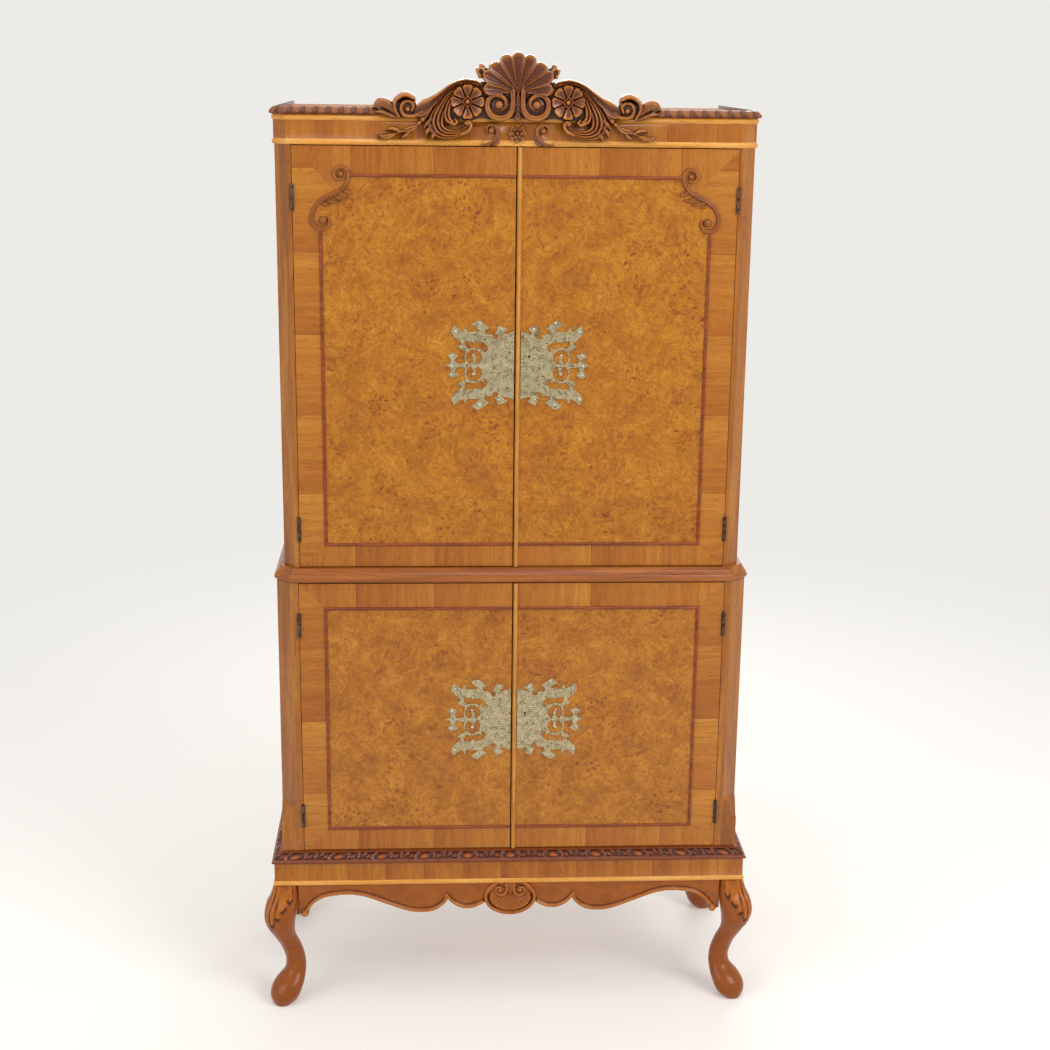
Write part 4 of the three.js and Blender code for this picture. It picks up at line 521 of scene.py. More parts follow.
@dataclass(frozen=True)
class BronzedSteel(Finish):
    """Rolled steel bronzed dark: purple-brown, a little lighter from wear in patches.

    Attributes:
        dark: The colour of the skin.
        light: The colour where wear shows.
    """

    dark: str = "#3B2A28"
    light: str = "#6E5A50"

    def paint(self, tree: Tree, shader: Node, place: Socket) -> None:
        """Paint the bronzing and its rubbed patches."""
        patch = add_node(tree, "TexNoise", {"Vector": place, "Scale": repeats(6), "Detail": 4.0})
        stops = [(0.4, self.dark), (0.66, self.light)]
        colour = add_node(tree, "ValToRGB", {"Fac": patch}, stops=stops)
        feed(tree, shader, {"Metallic": 1.0, "Base Color": colour})


@dataclass(frozen=True)
class SilveredGlass(Finish):
    """Silvered mirror glass: a clean bright reflection, a little grey where the silver has aged."""

    def paint(self, tree: Tree, shader: Node, place: Socket) -> None:
        """Paint the silver and its age."""
        age = add_node(tree, "TexNoise", {"Vector": place, "Scale": repeats(120), "Detail": 6.0})
        stops = [(0.3, "#B9BEBE"), (0.5, "#DDE2E2")]
        colour = add_node(tree, "ValToRGB", {"Fac": age}, stops=stops)
        feed(tree, shader, {"Metallic": 1.0, "Base Color": colour})


@dataclass(frozen=True)
class ShelfGlass(Finish):
    """Polished plate glass: clear, with the green tint of soda glass in its edges."""

    def paint(self, tree: Tree, shader: Node, place: Socket) -> None:
        """Make the glass clear and faintly green."""
        haze = add_node(tree, "TexNoise", {"Vector": place, "Scale": repeats(90), "Detail": 3.0})
        stops = [(0.35, "#D6EBE2"), (0.65, "#E6F4EE")]
        colour = add_node(tree, "ValToRGB", {"Fac": haze}, stops=stops)
        feed(tree, shader, {"Transmission Weight": 1.0, "IOR": 1.52, "Base Color": colour})


UPRIGHT_WALNUT = PlainWalnut("polished walnut, upright grain", "walnut_case")
LEVEL_WALNUT = PlainWalnut("polished walnut, level grain", "walnut_case", grain=Grain.ACROSS)
SIDE_WALNUT = PlainWalnut("polished walnut, side grain", "walnut_case", grain=Grain.DEEP)
# The carved finishes paint shade in their hollows and a highlight on their high points.
LEG_WALNUT = CarvedWalnut(
    "carved and polished leg walnut", "walnut_case", hollow="#4A2006", body="#984C0C", rubbed="#BE7020"
)
APRON_WALNUT = CarvedWalnut(
    "carved and polished apron walnut", "walnut_case", hollow="#4A1A05", body="#A05514", rubbed="#C2772C"
)
WAIST_WALNUT = PlainWalnut(
    "polished walnut moulding", "walnut_case", grain=Grain.ACROSS, dark="#7B3A12", body="#A25A1E",
    light="#BC742C"
)
FRIEZE_VENEER = BandedWalnut("frieze veneer", "walnut_case", block=88, bead_top=1666.9)
BASE_VENEER = BandedWalnut("base frieze veneer", "walnut_case", block=74, bead_top=266.2)
CORNICE_BEAD = BandedWalnut(
    "cornice bead and lip", "walnut_case", block=60, bead_top=1708.0,
    tones=("#5E2A0C", "#6E3410", "#7E4018")
)
UPPER_BURR = BurrVeneer("burr walnut, upper doors", "burr_walnut")
LOWER_BURR = BurrVeneer(
    "burr walnut, lower doors", "burr_walnut", line_side=348.3, line_top=812.0, line_bottom=368.9,
    corner=0.0, face=-187.76,
    clouds=((0.3, "#9E5E12"), (0.42, "#B26F18"), (0.54, "#C17F1F"), (0.66, "#CD8D2B"), (0.8, "#DB9F3D")),
)
CARVED = CarvedWalnut("carved walnut, dark polish", "carved_walnut", coat=0.45)
TOP_WALNUT = PlainWalnut(
    "oiled walnut top board", "walnut_case", roughness=0.62, coat=0.0, sheen=0.08, grain=Grain.ACROSS
)
# A near-black disc behind each right door's keyhole: painted shade in the hole.
KEYHOLE_SHADE = BronzedSteel(
    "iron of the lock in the keyhole", "bronzed_steel", dark="#0C0806", light="#17100C",
)
BASE_CARVED = CarvedWalnut(
    "carved base moulding", "carved_walnut", hollow="#40180A", body="#843C10", rubbed="#B5662C"
)
CORNICE_CARVED = CarvedWalnut(
    "carved cornice lip", "carved_walnut", hollow="#2A0E02", body="#6C330E", rubbed="#A8642A"
)
BOXWOOD = PlainWalnut(
    "polished boxwood bead", "light_bead", dark="#AC6E26", body="#CF8C38", light="#E2A656", figure=9
)
PANEL_BEAD = PlainWalnut(
    "polished mahogany bead", "panel_bead", grain=Grain.ACROSS, dark="#662208", body="#8A3C12",
    light="#A85822", figure=9
)
PANEL_BEAD_CARVED = CarvedWalnut(
    "carved door scroll", "panel_bead", hollow="#3A1404", body="#7C3A12", rubbed="#B8702F"
)
INSIDE = PlainWalnut(
    "waxed inside veneer", "inside_veneer", roughness=0.5, coat=0.1, dark="#84522A", body="#A0693A",
    light="#B68150"
)
BRASS = EngravedBrass("engraved cast brass", "engraved_brass", roughness=0.36)
STEEL = BronzedSteel("bronzed rolled steel", "bronzed_steel", roughness=0.42)
RIVET_STEEL = BronzedSteel(
    "bright drawn steel", "bronzed_steel", roughness=0.3, dark="#A9A8A0", light="#DEDCD2"
)
SILVERED = SilveredGlass("silvered mirror glass", "mirror", roughness=0.03)
PLATE_GLASS = ShelfGlass("clear plate glass", "glass", roughness=0.02)


# Making and placing pieces


def deselect() -> None:
    """Select nothing, so that an operator acts only on what is chosen next."""
    if bpy.context.object and bpy.context.object.mode == "EDIT":
        bpy.ops.object.mode_set(mode="OBJECT")
    bpy.ops.object.select_all(action="DESELECT")


def choose(piece: Object) -> None:
    """Make one object the only selected and the active one."""
    deselect()
    piece.select_set(True)
    bpy.context.view_layer.objects.active = piece


@contextmanager
def editing(piece: Object, everything: bool = True) -> Iterator[None]:
    """Open one object's mesh for editing.

    Args:
        piece: The object.
        everything: Whether all of it starts selected.

    Yields:
        Nothing; the mesh is closed again afterwards.
    """
    choose(piece)
    bpy.ops.object.mode_set(mode="EDIT")
    if everything:
        bpy.ops.mesh.select_all(action="SELECT")
    yield
    bpy.ops.object.mode_set(mode="OBJECT")


def shape(piece: Object, kind: str, **settings: object) -> None:
    """Apply one modifier to a piece.

    Args:
        piece: The object.
        kind: The modifier's type.
        settings: Its options.
    """
    choose(piece)
    modifier = piece.modifiers.new(kind.lower(), kind)
    for name, value in settings.items():
        setattr(modifier, name, value)
    bpy.ops.object.modifier_apply(modifier=modifier.name)


def smooth(piece: Object, degrees: float = 35.0) -> None:
    """Shade the piece smooth, except across edges sharper than this."""
    choose(piece)
    bpy.ops.object.shade_smooth_by_angle(angle=math.radians(degrees))


def add_object(name: str, data: bpy.types.ID) -> Object:
    """Put a new object with this data in the scene."""
    piece = bpy.data.objects.new(name, data)
    bpy.context.scene.collection.objects.link(piece)
    return piece


def coordinates(piece: Object) -> Array:
    """Give a piece's vertices in millimetres."""
    flat = np.zeros(len(piece.data.vertices) * 3)
    piece.data.vertices.foreach_get("co", flat)
    return flat.reshape(-1, 3) / MM


def set_coordinates(piece: Object, points: Array) -> None:
    """Put a piece's vertices at these places in millimetres."""
    piece.data.vertices.foreach_set("co", (points * MM).astype(np.float32).ravel())
    piece.data.update()


def store(piece: Object, title: str, values: Array) -> None:
    """Keep a number for each vertex of a piece."""
    layer = piece.data.attributes.new(title, "FLOAT", "POINT")
    layer.data.foreach_set("value", values.astype(np.float32))


def skin(name: str, points: Array, size: int, relief: Array) -> Object:
    """Close a piece over rings of places, with a cap at each end, for shapes that no operator gives.

    Args:
        name: The piece's name.
        points: The rings' places in millimetres, one ring after another.
        size: How many places a ring has.
        relief: How hollow or raised each place is, from 0 to 1: painted shade when low, a painted highlight
            when high.

    Returns:
        The new object, smooth.
    """
    end = len(points) - size
    faces = [
        (i + j, i + (j + 1) % size, i + size + (j + 1) % size, i + size + j)
        for i in range(0, end, size)
        for j in range(size)
    ]
    faces += [tuple(range(size - 1, -1, -1)), tuple(range(end, end + size))]
    mesh = bpy.data.meshes.new(name)
    mesh.from_pydata((points * MM).tolist(), [], faces)
    mesh.update()
    piece = add_object(name, mesh)
    store(piece, "relief", clipped(relief))
    with editing(piece):
        bpy.ops.mesh.normals_make_consistent(inside=False)
    smooth(piece, 50)
    return piece


def join(pieces: Sequence[Object], name: str) -> Object:
    """Make one piece of several.

    Args:
        pieces: The objects.
        name: The name of the whole.

    Returns:
        The first object, which holds them all.
    """
    deselect()
    for piece in pieces:
        piece.select_set(True)
    bpy.context.view_layer.objects.active = pieces[0]
    if len(pieces) > 1:
        bpy.ops.object.join()
    pieces[0].name = pieces[0].data.name = name
    return pieces[0]


def delete_faces(piece: Object, picked: Array) -> None:
    """Delete the picked faces of a piece.

    Args:
        piece: The object.
        picked: Whether each face goes.
    """
    with editing(piece, everything=False):
        bpy.ops.mesh.select_mode(type="FACE")
        bpy.ops.mesh.select_all(action="DESELECT")
    piece.data.polygons.foreach_set("select", picked)
    with editing(piece, everything=False):
        bpy.ops.mesh.delete(type="FACE")


def hang(piece: Object, body: str, finish: Finish, *nodes: str) -> None:
    """Dress a finished piece, hang it on its body and let it stand for the frame's nodes.

    Args:
        piece: The object.
        body: The body it moves with.
        finish: Its finish.
        nodes: The frame's nodes that it replaces.
    """
    piece.data.materials.clear()
    piece.data.materials.append(finish.material())
    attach(piece, body)
    if nodes:
        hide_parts(*nodes)
    log.info("%s: %d faces, %s", piece.name, len(piece.data.polygons), finish.name)


def polished(node: str, finish: Finish, ease: float = 0.6, limit: float = 40.0) -> None:
    """Copy a frame node with its edges eased by sandpaper, and let the copy stand for it.

    Args:
        node: The frame's node.
        finish: The copy's finish.
        ease: Width of the eased edge in millimetres.
        limit: Only edges sharper than this many degrees are eased.
    """
    source = frame["nodes"][node]
    piece = add_object(node + "_polished", source.data.copy())
    with editing(piece):
        bpy.ops.mesh.remove_doubles(threshold=WELD * MM)
        bpy.ops.mesh.dissolve_limited(angle_limit=math.radians(0.6))
    if ease:
        sharp = math.radians(limit)
        shape(piece, "BEVEL", width=ease * MM, segments=2, limit_method="ANGLE", angle_limit=sharp)
    smooth(piece)
    if ease:
        shape(piece, "WEIGHTED_NORMAL", keep_sharp=True)
    hang(piece, source["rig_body"], finish, node)


def dress(node: str, finish: Finish) -> None:
    """Give a frame node whose shape is right its finish."""
    piece = frame["nodes"][node]
    piece.data.materials.clear()
    piece.data.materials.append(finish.material())
    log.info("%s keeps its shape, %s", node, finish.name)


# Carving


def clipped(values: Array) -> Array:
    """Hold values between 0 and 1."""
    return np.clip(values, 0, 1)


def dome(off: Array) -> Array:
    """Give the height of a half round, at shares of its radius from its middle."""
    return np.sqrt(clipped(1 - off**2))


def bell(off: Array, width: float) -> Array:
    """Give a soft bump's height at a distance from its middle."""
    return np.exp(-((off / width) ** 2))


def curve(points: Sequence[Point], step: float = 0.7) -> Array:
    """Run a smooth curve through points.

    Args:
        points: Places in millimetres.
        step: Distance between samples.

    Returns:
        The samples, one row each.
    """
    given = np.array(points, float)
    padded = np.vstack([2 * given[0] - given[1], given, 2 * given[-1] - given[-2]])
    rows = []
    for a, b, c, d in zip(padded, padded[1:], padded[2:], padded[3:]):
        count = max(2, math.ceil(np.linalg.norm(c - b) / step))
        t = np.linspace(0, 1, count, endpoint=False)[:, None]
        rows.append(
            0.5 * (
                2 * b + (c - a) * t + (2 * a - 5 * b + 4 * c - d) * t**2 + (3 * b - a - 3 * c + d) * t**3
            )
        )
    return np.vstack([*rows, given[-1:]])


class Field:
    """The ground that motifs are carved on: a height and a distance inside the outline at each place."""

    def __init__(self, x: Array, z: Array, sign: int) -> None:
        """Start an empty field.

        Args:
            x: Places across, in millimetres.
            z: Places up.
            sign: 1 as the motifs are, -1 to turn them round, or 0 if the left half copies the right.
        """
        self.x = x * sign if sign else np.abs(x)
        self.z = z
        self.height = np.zeros_like(x)
        self.inside = np.full_like(x, -50.0)

    def near(self, points: Array, reach: float) -> Array:
        """Pick the places within reach of the points' box."""
        low, high = points.min(0) - reach, points.max(0) + reach
        across = (self.x > low[0]) & (self.x < high[0])
        return across & (self.z > low[1]) & (self.z < high[1])

    def raise_to(self, where: Array, height: Array, inside: Array) -> None:
        """Raise the field to a motif where the motif is higher, and widen its outline."""
        self.height[where] = np.maximum(self.height[where], np.where(inside > 0, height, 0))
        self.inside[where] = np.maximum(self.inside[where], inside)


class Motif:
    """Something that is carved on a ground."""

    def carve(self, ground: Field) -> None:
        """Raise or lower the field. Each kind of motif has its own way.

        Args:
            ground: The field that it is carved on.
        """
        raise NotImplementedError


@dataclass(frozen=True)
class Ridge(Motif):
    """A stem, leaf or curl: a rounded ridge along a curve.

    Attributes:
        path: Points that it follows.
        widths: Full widths, spread evenly along it.
        heights: Heights, spread evenly along it.
        flute: Distance between its leaf flutes, or 0.
        serrate: How deep its edge is notched between the flutes, as a share.
        groove: Depth of a groove down its middle, as a share of its height.
    """

    path: Sequence[Point]
    widths: Sequence[float]
    heights: Sequence[float]
    flute: float = 0.0
    serrate: float = 0.0
    groove: float = 0.0

    def carve(self, ground: Field) -> None:
        """Raise the field along the curve."""
        line = curve(self.path)
        reach = max(self.widths)
        where = ground.near(line, reach)
        places = np.stack([ground.x[where], ground.z[where]], 1)
        gaps = np.linalg.norm(places[:, None] - line[None], axis=2)
        nearest = gaps.argmin(1)
        away = gaps[np.arange(len(places)), nearest]
        steps = np.r_[0, np.cumsum(np.linalg.norm(np.diff(line, axis=0), axis=1))]
        share = steps[nearest] / steps[-1]
        half = np.interp(share, np.linspace(0, 1, len(self.widths)), self.widths) / 2
        top = np.interp(share, np.linspace(0, 1, len(self.heights)), self.heights)
        phase = 2 * math.pi * steps[nearest] / (self.flute or 1)
        if self.flute:
            half = half * (1 - self.serrate * (0.5 + 0.5 * np.cos(phase - 5.2)))
        out = clipped(away / half)
        form = np.sqrt(1 - out**2) ** 0.8
        if self.flute:
            form = form * (1 - 0.34 * clipped(out * 2.2) * (0.5 + 0.5 * np.cos(phase - 5.2 * out)))
        if self.groove:
            form = form * (1 - self.groove * bell(out, 0.3))
        ground.raise_to(where, top * form, half - away)


@dataclass(frozen=True)
class Ball(Motif):
    """A round button, berry or eye.

    Attributes:
        centre: Its middle.
        radius: Its radius.
        height: Its height.
        rest: The height of its edge.
    """

    centre: Point
    radius: float
    height: float
    rest: float = 0.0

    def carve(self, ground: Field) -> None:
        """Raise the field into a dome."""
        away = np.hypot(ground.x - self.centre[0], ground.z - self.centre[1])
        where = away < self.radius + 4
        form = dome(away[where] / self.radius)
        ground.raise_to(where, self.rest + (self.height - self.rest) * form, self.radius - away[where])


@dataclass(frozen=True)
class Leafage(Motif):
    """Strands that flow side by side between two curves, as an acanthus leaf's do.

    Attributes:
        outer: Points on its outer edge, from root to tips.
        inner: Points on its inner edge.
        across: Heights from the outer edge to the inner, spread evenly.
        along: Shares of those heights from root to tips, spread evenly.
        strands: How many strands.
        cut: How deep the hollow between two strands is, as a share of the height.
        ends: Where each strand ends, as shares of the length, from the outer to the inner.
    """

    outer: Sequence[Point]
    inner: Sequence[Point]
    across: Sequence[float]
    along: Sequence[float] = (1.0, 1.0)
    strands: int = 1
    cut: float = 0.0
    ends: Sequence[float] = (1.0,)

    def carve(self, ground: Field) -> None:
        """Raise the field between the curves, strand by strand."""
        outer, inner = self.evenly(self.outer), self.evenly(self.inner)
        shares = np.linspace(0, 1, 13)[None, :, None]
        grid = outer[:, None] * (1 - shares) + inner[:, None] * shares
        count, wide = grid.shape[:2]
        spots = grid.reshape(-1, 2)
        where = ground.near(spots, 3)
        places = np.stack([ground.x[where], ground.z[where]], 1)
        squares = (spots**2).sum(1)[None] - 2 * places.astype(np.float32) @ spots.T.astype(np.float32)
        i, j = np.divmod(squares.argmin(1), wide)
        ahead, aside = np.gradient(grid, axis=0)[i, j], np.gradient(grid, axis=1)[i, j]
        gap = places - grid[i, j]
        turn = ahead[:, 0] * aside[:, 1] - ahead[:, 1] * aside[:, 0]
        turn = np.where(np.abs(turn) < 0.02, 0.02, turn)
        v = (i + np.clip((gap[:, 0] * aside[:, 1] - gap[:, 1] * aside[:, 0]) / turn, -9, 9)) / (count - 1)
        u = (j + np.clip((ahead[:, 0] * gap[:, 1] - ahead[:, 1] * gap[:, 0]) / turn, -9, 9)) / (wide - 1)
        width = np.linalg.norm(grid[i, -1] - grid[i, 0], axis=1)
        length = np.linalg.norm(np.diff(grid[:, wide // 2], axis=0), axis=1).sum()
        strand = np.clip(u, 0, 0.999) * self.strands
        off = np.abs(2 * (strand % 1) - 1)
        end = np.array(self.ends)[np.minimum(strand.astype(int), len(self.ends) - 1)]
        tip = end - (0.5 * width / self.strands / length) * off**2
        inside = np.minimum(np.minimum(u, 1 - u) * width, np.minimum(v, tip - v) * length)
        form = np.interp(u, np.linspace(0, 1, len(self.across)), self.across)
        form = form * np.interp(v, np.linspace(0, 1, len(self.along)), self.along)
        if self.strands > 1:
            form = form * (1 - self.cut * clipped((off - 0.25) / 0.75) ** 1.5)
        lip = clipped(inside / 1.6) ** 0.5
        ground.raise_to(where, form * lip, inside)

    def evenly(self, edge: Sequence[Point]) -> Array:
        """Space 90 samples evenly along one edge."""
        line = curve(edge)
        steps = np.r_[0, np.cumsum(np.linalg.norm(np.diff(line, axis=0), axis=1))]
        even = np.linspace(0, steps[-1], 90)
        return np.stack([np.interp(even, steps, line[:, k]) for k in (0, 1)], 1)


@dataclass(frozen=True)
class Channel(Motif):
    """A groove that a gouge cuts along a curve.

    Attributes:
        path: Points that it follows.
        width: Its full width.
        floor: The height of its floor.
    """

    path: Sequence[Point]
    width: float
    floor: float = 0.0

    def carve(self, ground: Field) -> None:
        """Lower the field along the curve."""
        line = curve(self.path, 1.0)
        where = ground.near(line, self.width)
        places = np.stack([ground.x[where], ground.z[where]], 1)
        away = np.linalg.norm(places[:, None] - line[None], axis=2).min(1)
        share = clipped(2 * away / self.width) ** 2
        height = ground.height[where]
        ground.height[where] = np.minimum(height, self.floor + (height - self.floor) * share)


@dataclass(frozen=True)
class Flower(Motif):
    """An open flower: cupped petals with notched rims round a raised diamond that holds a ball.

    Attributes:
        centre: Its middle.
        radius: Its reach.
        height: The height of the petals' rims.
        petals: How many.
        point: 0 for round notched petals, 1 for pointed ones.
        diamond: The diamond's reach, as a share of the radius.
    """

    centre: Point
    radius: float
    height: float
    petals: int = 8
    point: float = 0.0
    diamond: float = 0.36

    def carve(self, ground: Field) -> None:
        """Raise the petals, the diamond and its ball."""
        across, up = ground.x - self.centre[0], ground.z - self.centre[1]
        where = np.hypot(across, up) < self.radius + 4
        across, up = across[where], up[where]
        away = np.hypot(across, up)
        turn = (np.arctan2(up, across) / (2 * math.pi) * self.petals + 0.5) % 1
        off = np.abs(2 * turn - 1)
        rounded = np.sqrt(clipped(1 - off**2.8)) - 0.1 * bell(off, 0.2)
        edge = rounded * (1 - self.point) + (1 - off) * self.point
        rim = self.radius * (0.76 + 0.24 * edge)
        share = clipped(away / rim)
        cup = 0.58 + 0.42 * share
        hollow = 1 - 0.16 * (1 - off**2) * np.sin(math.pi * share) ** 2
        apart = 1 - 0.75 * bell((1 - off) * away, 2.3)
        lip = clipped((rim - away) / 1.8) ** 0.5
        ground.raise_to(where, self.height * cup * hollow * apart * lip, rim - away)
        reach = max(self.diamond * self.radius, 0.1)
        square = np.abs(across) + np.abs(up)
        frame_height = self.height * (0.5 + 0.36 * clipped(square / reach) ** 2)
        button = dome(away / (0.42 * reach))
        raised = np.maximum(frame_height, self.height * (0.5 + 0.5 * button))
        ground.raise_to(where, np.where(square < reach, raised, 0), (reach - square) * 0.7)


@dataclass(frozen=True)
class Shell(Motif):
    """A scallop shell that fans from its root: a dish of hollow flutes with a ruffled rim.

    Attributes:
        root: Where the flutes meet.
        reaches: Its length in even steps from its middle to its last flute.
        flutes: How many flutes.
        half_angle: The angle from its middle to its last flute's edge, in degrees.
        floor: The height at the root.
        height: The height of the rim.
        squash: Its height as a share of its width.
        down: Whether it fans downwards.
        ruffle: How far the rim swings in and out, as a share.
    """

    root: Point
    reaches: Sequence[float]
    flutes: int
    half_angle: float
    floor: float
    height: float
    squash: float = 1.0
    down: bool = False
    ruffle: float = 0.055

    def carve(self, ground: Field) -> None:
        """Raise the dish, the ridges between its flutes and its thin rim."""
        across = ground.x - self.root[0]
        up = (ground.z - self.root[1]) / self.squash * (-1 if self.down else 1)
        away = np.hypot(across, up)
        angle = np.degrees(np.arctan2(across, up))
        share = np.abs(angle) / self.half_angle
        reach = np.interp(share, np.linspace(0, 1, len(self.reaches)), self.reaches)
        off = np.abs(2 * ((angle / (2 * self.half_angle) + 0.5) * self.flutes % 1) - 1)
        rim = reach * (1 + self.ruffle * (1 - 2 * off**2.4))
        part = clipped(away / rim)
        dish = self.floor + (self.height - self.floor) * part**1.7
        ridge = 0.3 * self.height * clipped((off - 0.35) / 0.65) ** 2 * np.sin(math.pi * part) ** 0.7
        vein = 0.05 * self.height * bell(off, 0.14) * part
        lip = bell(rim - away - 1.7, 1.3) * (1 - 0.5 * off)
        edge = (1 - share) * away * math.radians(self.half_angle)
        inside = np.minimum(rim - away, edge)
        where = inside > -6
        height = dish + ridge + vein + 0.14 * self.height * lip
        height = height * clipped(inside / 1.2) ** 0.5
        ground.raise_to(where, height[where], inside[where])


@dataclass(frozen=True)
class Ground(Motif):
    """A flat area between motifs.

    Attributes:
        corners: Its outline.
        height: Its height.
    """

    corners: Sequence[Point]
    height: float = 0.0

    def carve(self, ground: Field) -> None:
        """Add the area to the outline."""
        corners = np.array(self.corners, float)
        where = ground.near(corners, 4)
        px, pz = ground.x[where], ground.z[where]
        away = np.full(px.shape, 1e6)
        odd = np.zeros(px.shape, bool)
        for (ax, az), (bx, bz) in zip(corners, np.roll(corners, -1, axis=0)):
            length = (bx - ax) ** 2 + (bz - az) ** 2
            share = clipped(((px - ax) * (bx - ax) + (pz - az) * (bz - az)) / length)
            away = np.minimum(away, np.hypot(px - ax - share * (bx - ax), pz - az - share * (bz - az)))
            if az != bz:
                crossing = ((az > pz) != (bz > pz)) & (px < (bx - ax) * (pz - az) / (bz - az) + ax)
                odd ^= crossing
        inside = np.where(odd, away, -away)
        ground.raise_to(where, np.full(px.shape, self.height), inside)


@dataclass
class CarvedRelief:
    """A carving in one board: motifs that rise from a flat back.

    Attributes:
        name: The piece's name.
        low: The left and bottom of its area.
        high: The right and top.
        back: The y of its back.
        board: Thickness of the board at the carving's edge.
        motifs: What is carved on it.
        step: Spacing of the carving's grid.
        sign: 1 as the motifs are, -1 to turn them round, or 0 if its left half copies its right.
        shift: Where the motifs' own zero stands.
        passes: How many times gaps at a cell's corner are filled.
        reaches: How far round a place its near and its wide surroundings reach.
        contrast: How strongly a place's height over its surroundings counts in the painted shade and
            highlight.
    """

    name: str
    low: Point
    high: Point
    back: float
    board: float
    motifs: Sequence[Motif]
    step: float = 1.0
    sign: int = 0
    shift: Point = (0.0, 0.0)
    passes: int = 6
    reaches: tuple[float, float] = (9.0, 64.0)
    contrast: float = 0.08

    def build(self) -> Object:
        """Carve the piece.

        Returns:
            The new object, closed and smooth.
        """
        columns = math.ceil((self.high[0] - self.low[0]) / self.step)
        rows = math.ceil((self.high[1] - self.low[1]) / self.step)
        deselect()
        bpy.ops.mesh.primitive_grid_add(x_subdivisions=columns, y_subdivisions=rows, size=1)
        piece = bpy.context.object
        piece.name = piece.data.name = self.name
        unit = coordinates(piece)[:, :2] * MM + 0.5
        order = np.lexsort((unit[:, 0], unit[:, 1]))
        wide, tall = columns + 1, rows + 1
        x = (self.low[0] + unit[order, 0] * (self.high[0] - self.low[0])).reshape(tall, wide)
        z = (self.low[1] + unit[order, 1] * (self.high[1] - self.low[1])).reshape(tall, wide)
        ground = Field(x - self.shift[0], z - self.shift[1], self.sign)
        for motif in self.motifs:
            motif.carve(ground)
        corners = [(a, b) for a in (0, 1) for b in (0, 1)]
        centre = 0.25 * sum(ground.inside[a : a + rows, b : b + columns] for a, b in corners)
        kept = self.tidy(centre > 0)
        self.snap(x, z, ground, kept)
        relief = self.relief(ground.height)
        points = np.zeros((len(unit), 3))
        points[order, 0], points[order, 1], points[order, 2] = x.ravel(), self.back, z.ravel()
        set_coordinates(piece, points)
        for title, values in (("rise", ground.height), ("relief", relief)):
            spread = np.zeros(len(unit))
            spread[order] = values.ravel()
            store(piece, title, spread)
        self.drop(piece, kept, order, wide)
        self.thicken(piece)
        self.plain_back(piece)
        return piece

    def plain_back(self, piece: Object) -> None:
        """Give the flat back the even tone of uncarved wood."""
        layer = piece.data.attributes["relief"]
        values = np.zeros(len(piece.data.vertices), np.float32)
        layer.data.foreach_get("value", values)
        values[coordinates(piece)[:, 1] > self.back - 0.05] = 0.5
        layer.data.foreach_set("value", values)

    def tidy(self, kept: Array) -> Array:
        """Fill the places where cells meet only at a corner, and drop specks beside the carving.

        Args:
            kept: Which cells of the grid belong to the carving.

        Returns:
            The cells to keep.
        """
        for _ in range(self.passes):
            a, b, c, d = kept[:-1, :-1], kept[:-1, 1:], kept[1:, :-1], kept[1:, 1:]
            falling, rising = a & d & ~b & ~c, b & c & ~a & ~d
            kept[:-1, 1:] |= falling
            kept[:-1, :-1] |= rising
        found = np.zeros_like(kept)
        tall, wide = kept.shape
        rows, columns = np.nonzero(kept)
        start = np.argmin(np.hypot(rows - tall * 0.45, columns - wide / 2))
        edge = [(rows[start], columns[start])]
        found[edge[0]] = True
        while edge:
            i, j = edge.pop()
            for a, b in ((i + 1, j), (i - 1, j), (i, j + 1), (i, j - 1)):
                if 0 <= a < tall and 0 <= b < wide and kept[a, b] and not found[a, b]:
                    found[a, b] = True
                    edge.append((a, b))
        return found

    def snap(self, x: Array, z: Array, ground: Field, kept: Array) -> None:
        """Move the grid's border places onto the true outline, and lower them to the board."""
        around = np.pad(kept, 1)
        count = sum(
            around[a : a + x.shape[0], b : b + x.shape[1]].astype(int) for a in (0, 1) for b in (0, 1)
        )
        border = (count > 0) & (count < 4)
        slope_z, slope_x = np.gradient(ground.inside, self.step)
        steep = np.maximum(slope_x**2 + slope_z**2, 0.25)
        move = np.clip(ground.inside, -self.step, self.step)
        x -= np.where(border, move * slope_x / steep, 0)
        z -= np.where(border, move * slope_z / steep, 0)
        ground.height[border] = 0

    def relief(self, height: Array) -> Array:
        """Measure how far each place stands above or below its surroundings, about 0.5: painted shade below
        0.5 and a painted highlight above.
        """
        soft = height.copy()
        level = np.full_like(height, 0.5)
        near, wide = (round(reach / self.step) for reach in self.reaches)
        for count in range(1, wide + 1):
            padded = np.pad(soft, 1, mode="edge")
            soft = (
                padded[:-2, 1:-1] + padded[2:, 1:-1] + padded[1:-1, :-2] + padded[1:-1, 2:] + 2 * soft
            ) / 6
            if count in (near, wide):
                level += self.contrast * (height - soft)
        return clipped(level)

    def drop(self, piece: Object, kept: Array, order: Array, wide: int) -> None:
        """Delete the grid's faces outside the outline.

        Args:
            piece: The grid.
            kept: Which cells stay.
            order: The vertices' numbers, row by row.
            wide: How many vertices a row has.
        """
        rank = np.empty(len(order), int)
        rank[order] = np.arange(len(order))
        corners = np.zeros(len(piece.data.polygons) * 4, int)
        piece.data.polygons.foreach_get("vertices", corners)
        lowest = rank[corners.reshape(-1, 4)].min(1)
        delete_faces(piece, ~kept[lowest // wide, lowest % wide])

